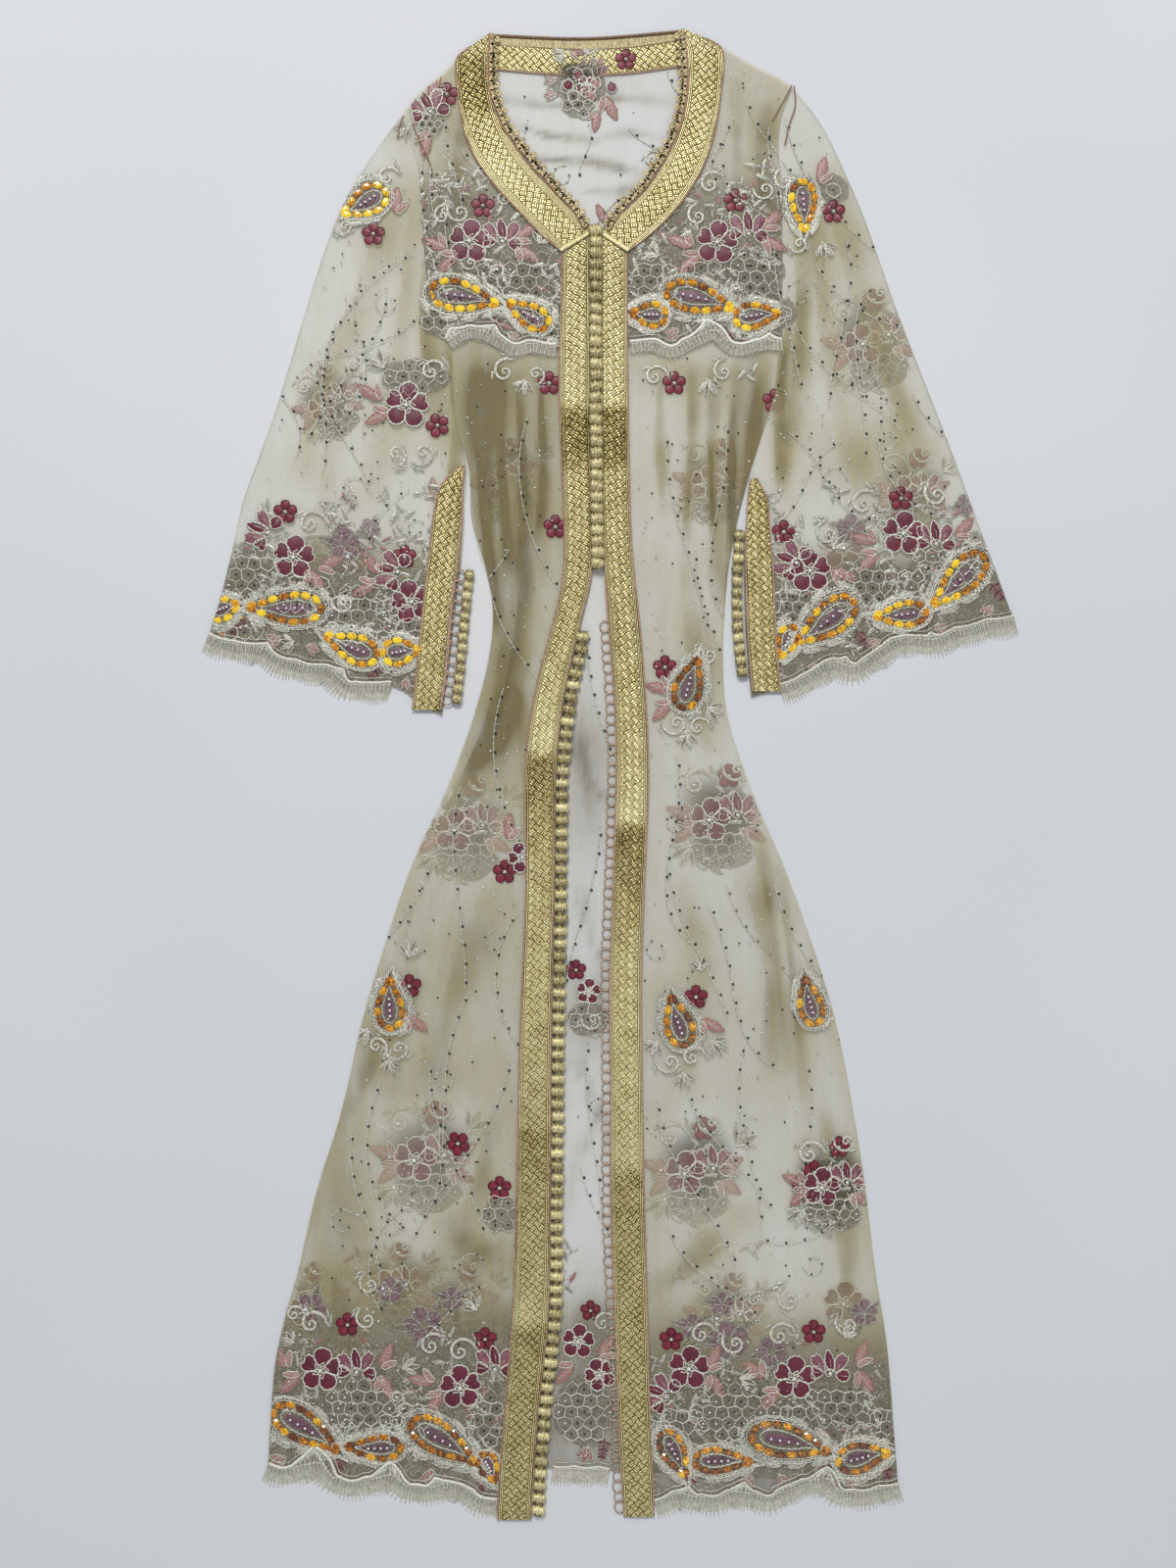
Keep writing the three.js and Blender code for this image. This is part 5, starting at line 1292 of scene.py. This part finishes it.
# Embroidery by panel: a stitch and its places, in the order they are sewn. A place is (x, y, turn, size);
# a paisley ends in its length and width, a comb's width and depth come before its turn, and a vine ends
# in its length, bend and curl
sewn = {
    "sleeve_left": [
        ("leaf", (-166, 669, 60)), ("side", (-175, 650, 20)), ("comb", (-172, 631, 16, 12, 0, 0.6)),
        ("leaf", (-178, 612, 250)), ("small", (-156, 660)), ("spray", (-192, 630, 200, 0.8)),
        ("paisley", (-236, 554, 33, 54, 33)), ("small", (-227, 525)), ("leaf", (-203, 558, 80)),
        ("spray", (-257, 574, 130, 0.8)), ("scroll", (-214, 580, 40, 0.7), (-255, 533, 220, 0.6)),
        ("bloom", (-195, 359, 0, 1.05)), ("small", (-165, 340, 20)), ("leaf", (-224, 349, 200), (-230, 373, 140)),
        ("comb", (-186, 387, 30, 14)), ("scroll", (-179, 314, 250, 0.8), (-205, 312, 290, 0.7)),
        ("spray", (-217, 396, 120, 0.9)), ("scroll", (-171, 392, 30, 0.8)), ("small", (-312, 256), (-197, 213)),
        ("side", (-336, 239, 60)), ("bloom", (-304, 212)), ("side", (-211, 200, 70)), ("bloom", (-190, 169, 20)),
        ("leaf", (-267, 206, 15), (-284, 189, 300), (-228, 208, 120), (-237, 183, 200)),
        ("comb", (-348, 196, 24, 26), (-242, 156, 44, 26), (-186, 136, 20, 14), (-295, 177, 26, 14)),
        ("scroll", (-288, 245, 20, 0.9), (-255, 169, 200, 0.7)), ("spray", (-262, 174, 330, 0.8)),
        ("paisley", (-371, 164, 200, 34, 28), (-314, 162, 2, 82, 34), (-250, 125, -20, 62, 32),
        (-199, 122, 190, 42, 30)), ("sprig", (-359, 144, 230), (-226, 101, 230)), ("blush", (-319, 134, 200, 0.9),
        (-290, 126, 330, 0.8), (-195, 93, 250, 0.8)), ("spray", (-304, 131, 190, 0.7)), ("comb", (-352, 140, 14, 8)),
        ("scroll", (-268, 145, 300, 0.5)), ("faded", (-255, 225, 0, 0.8), (-230, 240, 30, 0.5)),
        ("vine", (-171, 630, 250, 210, 0.5, 0.6), (-186, 506, 200, 190, 0.6, 1.0), (-214, 468, 262, 160, -0.5),
        (-262, 440, 240, 150, 0.6), (-276, 335, 20, 120, 0.8, 1.4), (-181, 449, 230, 130, -0.6),
        (-190, 278, 200, 110, 0.7, 1.2), (-285, 392, 280, 120, 0.4)), ("curls", (-246, 278), (-214, 459, 90)),
        ("vine", (-157, 563, 265, 150, 0.3), (-304, 307, 60, 90, 0.9, 1.0)), ("curls", (-186, 240, 40, 0.7))],
    "sleeve_left_under": [
        ("small", (-258, 233)), ("bloom", (-252, 213)), ("cluster", (-271, 364, 20, 0.7)), ("leaf", (-167, 278, 90)),
        ("comb", (-276, 212, 30, 20)), ("vine", (-238, 487, 250, 160, 0.5)), ("comb", (-304, 145, 70, 20)),
        ("paisley", (-352, 145, 20, 60, 28))],
    "sleeve_right": [
        ("paisley", (190, 551, 96, 56, 29)), ("small", (218, 547)), ("leaf", (209, 587, 70)),
        ("scroll", (171, 577, 130, 0.7)), ("spray", (207, 516, 290, 0.8)), ("scroll", (185, 516, 220, 0.6)),
        ("comb", (218, 568, 12, 10)), ("small", (283, 269), (170, 237)), ("side", (175, 210, 60)),
        ("bloom", (195, 199, 10), (285, 235)), ("side", (316, 233)), ("leaf", (247, 232, 160), (251, 210, 215),
        (346, 240, 40), (152, 193, 250), (228, 194, 330)), ("comb", (256, 183, 46, 22), (332, 202, 36, 18),
        (185, 164, 34, 14)), ("scroll", (247, 264, 60, 0.9), (318, 273, 150, 0.8), (213, 235, 120, 0.8)),
        ("spray", (218, 221, 60, 0.9)), ("paisley", (210, 148, 40, 78, 38), (282, 156, 8, 58, 28),
        (339, 188, 48, 78, 36), (173, 129, 70, 38, 24)), ("sprig", (247, 131, 300), (308, 156, 310),
        (378, 178, 310)), ("blush", (261, 131, 200, 0.8), (318, 145, 330, 0.8), (370, 164, 230, 0.8),
        (204, 107, 210, 0.8)), ("comb", (361, 221, 14, 12)), ("faded", (235, 240, 0, 0.7), (346, 264, 30, 0.5)),
        ("vine", (171, 639, 280, 210, 0.5, 0.6), (199, 497, 300, 190, 0.6, 1.0), (229, 525, 285, 170, -0.5),
        (247, 468, 250, 160, 0.5), (180, 440, 290, 150, 0.6), (266, 354, 250, 130, 0.7, 1.3),
        (171, 335, 330, 130, -0.7, 1.0), (228, 326, 200, 100, 0.8)), ("curls", (218, 288), (185, 468, 90)),
        ("vine", (294, 373, 290, 110, 0.5)), ("curls", (270, 326, 200, 0.8)), ("vine", (161, 516, 268, 140, 0.3))],
    "sleeve_right_under": [
        ("cluster", (256, 425, 10, 0.95)), ("small", (161, 364)), ("comb", (256, 174, 80, 22)),
        ("cluster", (294, 278, 0, 0.8)), ("bloom", (228, 221)), ("vine", (209, 468, 280, 160, 0.5))],
    "bodice_left": [
        ("small", (-121, 552)), ("bloom", (-134, 517)), ("side", (-103, 525)), ("leaf", (-168, 517, 150),
        (-156, 498, 215), (-79, 525, 30), (-78, 504, 320)), ("comb", (-76, 479, 34, 24), (-114, 478, 20, 14),
        (-162, 440, 14, 12)), ("scroll", (-143, 546, 160, 0.8), (-160, 542, 60, 0.7)),
        ("spray", (-67, 516, 60, 0.7)), ("paisley", (-138, 465, 172, 76, 34), (-79, 447, -27, 52, 27)),
        ("scroll", (-133, 497, 200, 0.5)), ("sprig", (-112, 435, 240)), ("blush", (-151, 435, 240, 0.9),
        (-95, 428, 320, 0.8)), ("spray", (-57, 425, 300, 0.7)), ("comb", (-61, 440, 14, 14)),
        ("vine", (-157, 639, 260, 90, 0.5), (-143, 611, 290, 70, 0.6, 1.2), (-170, 592, 255, 60, 0.4)),
        ("curls", (-162, 573, 0, 0.6)), ("scroll", (-100, 558, 100, 0.5))],
    "bodice_right": [
        ("small", (123, 557)), ("bloom", (105, 516)), ("side", (135, 532)), ("leaf", (70, 519, 150), (78, 498, 215),
        (161, 538, 40), (161, 513, 330)), ("comb", (41, 479, 24, 18), (144, 483, 24, 24), (90, 492, 22, 10)),
        ("scroll", (87, 542, 120, 0.7), (99, 573, 60, 0.8), (152, 568, 200, 0.7)), ("spray", (49, 504, 150, 0.7)),
        ("paisley", (38, 446, 0, 40, 28), (90, 463, 168, 76, 34), (145, 447, 190, 50, 29)),
        ("sprig", (118, 425, 250)), ("blush", (66, 432, 220, 0.9), (99, 425, 320, 0.8), (153, 425, 250, 0.7)),
        ("vine", (133, 658, 280, 90, 0.5), (118, 639, 265, 70, -0.6, 1.2), (156, 630, 260, 80, 0.4)),
        ("curls", (147, 596, 0, 0.7)), ("vine", (114, 601, 240, 60, 0.9, 1.3)), ("comb", (171, 449, 8, 10))],
    "skirt_left": [
        ("small", (-57, 381), (-51, 242)), ("scroll", (-100, 392, 80, 0.8)), ("spray", (-81, 384, 250, 0.7)),
        ("scroll", (-70, 390, 300, 0.6)), ("small", (-100, -92)), ("leaf", (-94, -48, 80)),
        ("bloom", (-83, -78, 30, 0.7)), ("paisley", (-212, -218, 275, 56, 32)), ("small", (-192, -202)),
        ("leaf", (-186, -240, 320)), ("scroll", (-228, -183, 130, 0.7), (-202, -262, 200, 0.8),
        (-224, -260, 330, 0.7)), ("spray", (-211, -273, 265, 0.7), (-233, -244, 240, 0.8), (-192, -173, 80, 0.8)),
        ("small", (-105, -398)), ("comb", (-103, -423, 14, 14)), ("small", (-145, -354, 30), (-252, -530),
        (-119, -544)), ("bloom", (-278, -574)), ("side", (-244, -568)), ("bloom", (-143, -591, 10)),
        ("side", (-110, -565)), ("leaf", (-316, -560, 120), (-309, -586, 215), (-213, -561, 60), (-216, -592, 285),
        (-181, -582, 165), (-169, -605, 230)), ("comb", (-236, -611, 38, 28), (-114, -622, 18, 26),
        (-190, -624, 26, 16), (-314, -605, 18, 10)), ("scroll", (-287, -529, 20, 0.9), (-143, -556, 30, 0.9),
        (-233, -525, 150, 0.7)), ("spray", (-198, -572, 20, 0.8), (-304, -547, 140, 0.6)),
        ("paisley", (-290, -631, 150, 84, 36), (-228, -650, 2, 62, 27), (-157, -643, 150, 84, 36),
        (-114, -669, 120, 34, 24)), ("sprig", (-261, -669, 250), (-122, -684, 260)),
        ("blush", (-314, -660, 200, 1.0), (-171, -672, 250, 1.0), (-209, -672, 300, 0.8)),
        ("spray", (-186, -648, 250, 0.7), (-322, -639, 200, 0.6)), ("scroll", (-205, -601, 290, 0.6)),
        ("faded", (-151, -504, 0, 0.6), (-178, -531, 20, 0.95), (-211, -497, 0, 0.65), (-287, -514, 40, 0.75)),
        ("scroll", (-171, -550, 60, 0.8), (-230, -491, 140, 0.7)), ("spray", (-127, -515, 120, 0.8)),
        ("scroll", (-304, -520, 20, 0.6)), ("vine", (-143, 326, 262, 190, 0.4), (-76, 354, 250, 200, 0.5, 0.8),
        (-114, 183, 280, 180, 0.5), (-95, 221, 240, 180, -0.4), (-100, 88, 250, 220, 0.5, 1.0),
        (-143, -7, 255, 200, 0.4), (-86, -130, 230, 170, 0.7, 1.3), (-171, -83, 250, 220, -0.4),
        (-133, -206, 240, 210, 0.5), (-219, -292, 245, 160, 0.4, 1.2), (-95, -273, 262, 200, -0.5),
        (-171, -273, 262, 180, 0.6), (-247, -339, 260, 150, 0.5)), ("curls", (-257, -430, 40), (-133, -472),
        (-110, -159, 100, 0.8)), ("vine", (-190, -415, 200, 120, 0.8, 1.4)), ("curls", (-209, -434, 200, 0.8)),
        ("vine", (-86, -425, 250, 120, 0.6)), ("curls", (-157, -292, 120, 0.8)), ("vine", (-114, -491, 190, 90, 0.7))],
    "skirt_right": [
        ("small", (64, 381), (161, 364)), ("scroll", (45, 387, 20, 0.8)), ("spray", (96, 384, 280, 0.8)),
        ("scroll", (112, 392, 110, 0.7)), ("fill", (136, 392, 200, 0.9)), ("paisley", (78, 92, 256, 58, 32)),
        ("small", (55, 106)), ("leaf", (49, 88, 160), (51, 65, 220)), ("scroll", (98, 118, 150, 0.7),
        (66, 52, 200, 0.8), (87, 48, 20, 0.7)), ("spray", (76, 42, 265, 0.7), (96, 67, 320, 0.8)),
        ("paisley", (66, -235, 290, 58, 32)), ("small", (85, -213)), ("leaf", (100, -242, 330)),
        ("scroll", (60, -275, 200, 0.8), (81, -271, 20, 0.8)), ("spray", (72, -286, 275, 0.7), (100, -256, 320, 0.8),
        (90, -187, 90, 0.7), (47, -256, 230, 0.7)), ("paisley", (194, -216, 286, 54, 28)),
        ("cluster", (216, -392, 0, 0.9)), ("small", (199, -382), (199, -537), (61, -544)), ("bloom", (78, -572)),
        ("side", (49, -596, 60)), ("bloom", (180, -582)), ("side", (214, -569)), ("leaf", (104, -563, 60),
        (104, -591, 290), (142, -572, 140), (156, -601, 220), (247, -558, 60), (248, -586, 300)),
        ("comb", (123, -615, 40, 24), (228, -611, 34, 20), (66, -629, 26, 18), (185, -615, 20, 10)),
        ("scroll", (166, -541, 30, 0.9), (232, -529, 160, 0.8), (90, -539, 40, 0.8), (123, -548, 160, 0.8)),
        ("spray", (128, -582, 350, 0.8)), ("paisley", (66, -656, 120, 56, 28), (112, -661, 182, 64, 28),
        (178, -643, 170, 88, 37), (248, -657, 195, 58, 33)), ("sprig", (80, -681, 250), (209, -674, 260),
        (270, -672, 280)), ("blush", (38, -672, 220, 0.9), (137, -677, 250, 0.9), (166, -677, 300, 0.8),
        (237, -680, 240, 0.8)), ("spray", (209, -643, 300, 0.6)), ("comb", (270, -629, 10, 16)),
        ("faded", (110, -510, 0, 0.6), (117, -546, 10, 1.0), (81, -531, 0, 0.65), (248, -518, 0, 0.65),
        (159, -556, 30, 0.75)), ("scroll", (176, -506, 130, 0.85), (142, -506, 30, 0.6)),
        ("spray", (229, -541, 60, 0.7)), ("vine", (57, 335, 265, 200, 0.4), (114, 345, 275, 200, -0.4, 0.8),
        (85, 221, 262, 120, 0.5), (109, 164, 285, 190, 0.5), (66, 22, 280, 190, -0.5, 1.0), (123, 50, 290, 210, 0.4),
        (57, -83, 275, 160, 0.4), (161, -102, 280, 200, 0.5), (95, -121, 300, 190, -0.5, 1.1),
        (133, -254, 250, 190, 0.6), (76, -301, 285, 140, 0.5), (190, -273, 285, 150, -0.4),
        (47, -311, 275, 180, 0.5)), ("curls", (133, -339, 40), (109, -463), (66, -45, 100, 0.8)),
        ("vine", (142, -444, 330, 110, 0.8, 1.4)), ("curls", (199, -472, 200, 0.8)),
        ("vine", (57, -434, 290, 130, 0.6)), ("curls", (47, -168, 120, 0.8)), ("vine", (237, -387, 285, 120, 0.5),
        (218, -244, 290, 120, 0.4))],
    "back": [
        ("bloom", (-21, 669, 180, 0.5)), ("leaf", (1, 647, 290), (-13, 635, 255, 0.8)),
        ("comb", (-29, 651, 16, 12, 0, 0.8)), ("blush", (-52, 660, 170, 0.7)), ("vine", (-18, 630, 285, 50, -0.7)),
        ("curls", (-44, 582, 80, 0.8)), ("vine", (57, 685, 280, 42, 0.4)), ("scroll", (42, 598, 60, 0.55)),
        ("blush", (33, 573, 230, 0.6)), ("leaf", (-5, 546, 110, 0.8)), ("vine", (19, 563, 200, 60, 0.6),
        (-76, 639, 240, 50, 0.7), (-19, 145, 265, 200, 0.4), (-8, -45, 270, 160, -0.3)),
        ("small", (-31, -187, 0, 0.85)), ("bloom", (-19, -208, 0, 0.6)), ("scroll", (-14, -235, 200, 0.7)),
        ("comb", (-19, -235, 16, 12)), ("vine", (-19, -254, 262, 180, 0.3), (-27, -377, 280, 140, 0.4)),
        ("curls", (-10, -320, 30, 0.7)), ("small", (-17, -517, 0, 0.85)), ("bloom", (-29, -547, 0, 0.8),
        (-8, -579, 30, 0.75)), ("scroll", (-5, -529, 40, 0.7)), ("comb", (-23, -615, 26, 30)),
        ("leaf", (-43, -577, 220), (0, -553, 50)), ("blush", (-19, -651, 240)), ("sprig", (-5, -653, 260)),
        ("cluster", (-138, -47), (-176, -366, 0, 1.05), (-95, 288, 10, 0.8), (109, -37), (85, -379, 0, 1.0),
        (104, 288, 0, 0.8), (-209, -491, 0, 0.8), (114, -520, 0, 0.8), (-285, -510, 10, 0.8), (-143, -510, 0, 0.8)),
        ("bloom", (228, -510)), ("comb", (-228, -596, 90, 26), (142, -605, 90, 26)),
        ("vine", (-190, -130, 250, 150, 0.6), (114, -102, 280, 150, 0.6), (19, 630, 300, 40, 0.5))],
    "back_neck": [
        ("blush", (-44, 707, 170, 0.9)), ("spray", (-27, 706, 10, 0.7)), ("leaf", (-29, 700, 350, 0.6)),
        ("blush", (-13, 707, 20, 0.8)), ("fill", (-35, 710, 40, 0.7), (-17, 700, 200, 0.7)),
        ("spray", (-42, 700, 200, 0.6)), ("comb", (-27, 669, 22, 14)), ("shadow", (-25, 683, 0, 0.8)),
        ("petals", (-19, 677, 180, 0.9)), ("blush", (-29, 681, 20, 1.2), (-13, 679, 60, 1.2), (-52, 675, 190, 0.7)),
        ("small", (17, 694, 0, 0.9))],
}
# how far each stitched motif reaches, so that the loose stitches keep clear of it
reaches = {"bloom": 21, "side": 19, "small": 12, "leaf": 12, "spray": 13, "scroll": 14, "faded": 16, "paisley": 26,
           "sprig": 8, "blush": 10}
# loose stitches: the height they stay under and how many are tried; then the stones' tone and the sequins
loose = {"skirt_left": (-535, 150), "skirt_right": (-540, 150), "bodice_left": (590, 60), "bodice_right": (590, 60),
         "sleeve_left": (280, 90), "sleeve_right": (280, 90), "back": (-450, 40)}
triesEach, clearOf, fillReach = 9, 4, 6
stoneShade = {"sleeve_left": 0.72, "sleeve_right": 0.66, "bodice_left": 0.66, "bodice_right": 0.6, "skirt_left": 0.45,
              "skirt_right": 0.45}
strewn = {"sleeve_left": 150, "sleeve_right": 150, "skirt_left": 270, "skirt_right": 270, "bodice_left": 40,
          "bodice_right": 40, "back": 60}
# a motif that runs over a seam lies on both cloths
beside = {"back_neck": ("back_neck_band",), "sleeve_left": ("bodice_left",), "sleeve_right": ("bodice_right",),
          "bodice_left": ("sleeve_left",), "bodice_right": ("sleeve_right",)}
sewnPieces = {}
for name, rows in sewn.items():
    sewing = Sewing()
    taken = []
    for kind, *places in rows:
        for place in places:
            shade = {"pale": stoneShade.get(name, 0.5)} if kind == "paisley" else {}
            stitches[kind](sewing, *place, **shade)
            if kind in reaches or kind == "comb":
                taken.append((*place[:2], reaches[kind] if kind in reaches else 0.8 * min(place[2:4])))
    cloth = clothRows.get(name)
    limit, tries = loose.get(name, (0, 0))
    for k in range(tries * triesEach):
        i, j = rng.integers(6, cloth.shape[0] - 6), rng.integers(4, cloth.shape[1] - 5)
        x, y = cloth[i, j, 0], cloth[i, j, 1]
        if y > limit - 70 * rng.random() ** 2:
            continue
        if any(math.hypot(x - a, y - b) < clearOf + 0.75 * reach for a, b, reach in taken):
            continue
        taken.append((x, y, fillReach))
        fill(sewing, x, y, rng.uniform(0, 360), rng.uniform(0.7, 1.1), pink=k % 3 == 0)
    for k in range(strewn.get(name, 0)):
        # loose sequins strewn over the cloth
        i, j = rng.integers(4, cloth.shape[0] - 6), rng.integers(3, cloth.shape[1] - 4)
        bulb(sewing, cloth[i, j, 0], cloth[i, j, 1], 1.1, ("sequin", "pearl", "silver")[k % 3], 0.35, 6, 2)
    sewnPieces[name] = finishSewing("sewn_" + name, sewing, on=(name.replace("_neck", ""),
                                    *beside.get(name, ())))
print("embroidery sewn")

# Rolled brown edge of the back neck, and the piping of the armholes
trims = Sewing()
backTop = clothRows["back"][-1]
cord(trims, along(np.column_stack([backTop[:, :2] + [0, -1.2], backTop[:, 2] + 1.0]), 4), "edge", 2.6, 2.2, sides=6)
# the neck's gold facing shows as a narrow strip between that edge and the band
band = braidRows["back_neck_band"]
upper = band[:, int(band[:, 1, 1].mean() > band[:, 0, 1].mean())]
upper = upper[np.argsort(upper[:, 0])]
unit, faces = gridOf(24, 2)
across = np.interp(unit[:, 0], [0, 1], [upper[0, 0], upper[-1, 0]])
low = np.stack([across, *(np.interp(across, upper[:, 0], upper[:, k]) for k in (1, 2))], axis=1)
edgeLine = backTop[np.argsort(backTop[:, 0])]
high = np.stack([across, np.interp(across, edgeLine[:, 0], edgeLine[:, 1]) - 0.6, np.full(len(across), 2.0)], axis=1)
facing = low + (high - low) * unit[:, 1:]
trims.add(facing, facingUp(facing, faces), "facing", unit * [30, 3], 0.3)
for line in ([(-198, 639), (-202, 628), (-203, 618)], [(-189, 631), (-181, 612), (-173, 595), (-170, 584)],
             [(178, 669), (169, 652), (159, 634)], [(180, 668), (181, 649), (175, 630), (171, 611)]):
    smooth = run(line, 5)
    rise = [topOf(("sleeve_left", "sleeve_right", "bodice_left", "bodice_right"), x, y) or 3.0 for x, y in smooth]
    cord(trims, np.column_stack([smooth, rise]), "edge", 1.4, 1.3, sides=5, tint=0.7)
finishSewing("trim_neck_and_armholes", trims)

# What each form of cloth was cut to, in metres. The braid is 31 mm wide
cuts = {"back": (0.64, 1.43), "bodice": (0.20, 0.31), "skirt": (0.33, 1.16), "sleeve": (0.50, 0.60)}


def areaOf(piece):
    return sum(face.area for face in piece.data.polygons)


for name, piece in nets.items():
    wide, long = cuts[formOf(name)]
    belong = [sewnPieces[name], hemPieces[name], threadPieces[name]]
    belong += [sewnPieces[name + part] for part in ("_under", "_neck") if name + part in sewnPieces]
for name, piece in woven.items():
    rows = braidRows[name]
    long = float(np.linalg.norm(np.diff(rows.mean(axis=1), axis=0), axis=1).sum()) * mm
    print(name, "measures", round(areaOf(piece), 4), "long", round(long, 3))

# Floor, soft light and the camera
# the camera's distance, how much it takes in and what it looks at; the lights' places, sizes and powers
studio = {"distance": 1.6, "frame": 1.52, "middle": (-0.0194, -0.0069), "board": ("#ced0d5", "#d6d7d9"),
          "sky": "#e6ebf2", "strength": 0.47, "sensor": 36.0,
          "lights": (("windowLight", (-0.4, 3.2, 4.2), 1.6, 182.0), ("fillLight", (0.9, -1.2, 2.6), 2.4, 11.0))}


def paintedBoard(tree):
    place = addNode(tree, "TexCoord").outputs["Object"]
    cloud = addNode(tree, "TexNoise", "2D", {"Vector": place, "Scale": 1.1, "Detail": 2.0})
    share = addNode(tree, "MapRange", {}, {"Value": cloud, "From Min": 0.3, "From Max": 0.7})
    pale, paler = (linear(tone) for tone in studio["board"])
    shade = addNode(tree, "Mix", "RGBA", {0: share, 1: pale, 2: paler})
    return {"Base Color": shade}


made = bmesh.new()
bmesh.ops.create_grid(made, x_segments=2, y_segments=2, size=4.0)
board = bpy.data.meshes.new("floor")
made.to_mesh(board)
made.free()
board.materials.append(newMaterial("paintedBoardMatt", paintedBoard, Roughness=0.8))
floor = bpy.data.objects.new("floor", board)
bpy.context.scene.collection.objects.link(floor)

for label, place, size, power in studio["lights"]:
    lamp = bpy.data.lights.new(label, "AREA")
    lamp.size, lamp.energy, lamp.color = size, power, (1.0, 0.99, 0.97)
    holder = bpy.data.objects.new(label, lamp)
    holder.location = place
    holder.rotation_euler = (-holder.location).to_track_quat("-Z", "Y").to_euler()
    bpy.context.scene.collection.objects.link(holder)
world = bpy.data.worlds.new("softRoom")
world.use_nodes = True
plug(world.node_tree, world.node_tree.nodes["Background"],
     {"Color": linear(studio["sky"]), "Strength": studio["strength"]})
bpy.context.scene.world = world
bpy.context.scene.view_settings.view_transform = "Standard"

lens = bpy.data.cameras.new("camera")
lens.sensor_width = studio["sensor"]
lens.lens = studio["sensor"] * studio["distance"] / studio["frame"]
camera = bpy.data.objects.new("camera", lens)
camera.location = (*studio["middle"], studio["distance"])
bpy.context.scene.collection.objects.link(camera)
bpy.context.scene.camera = camera
print("stage set")
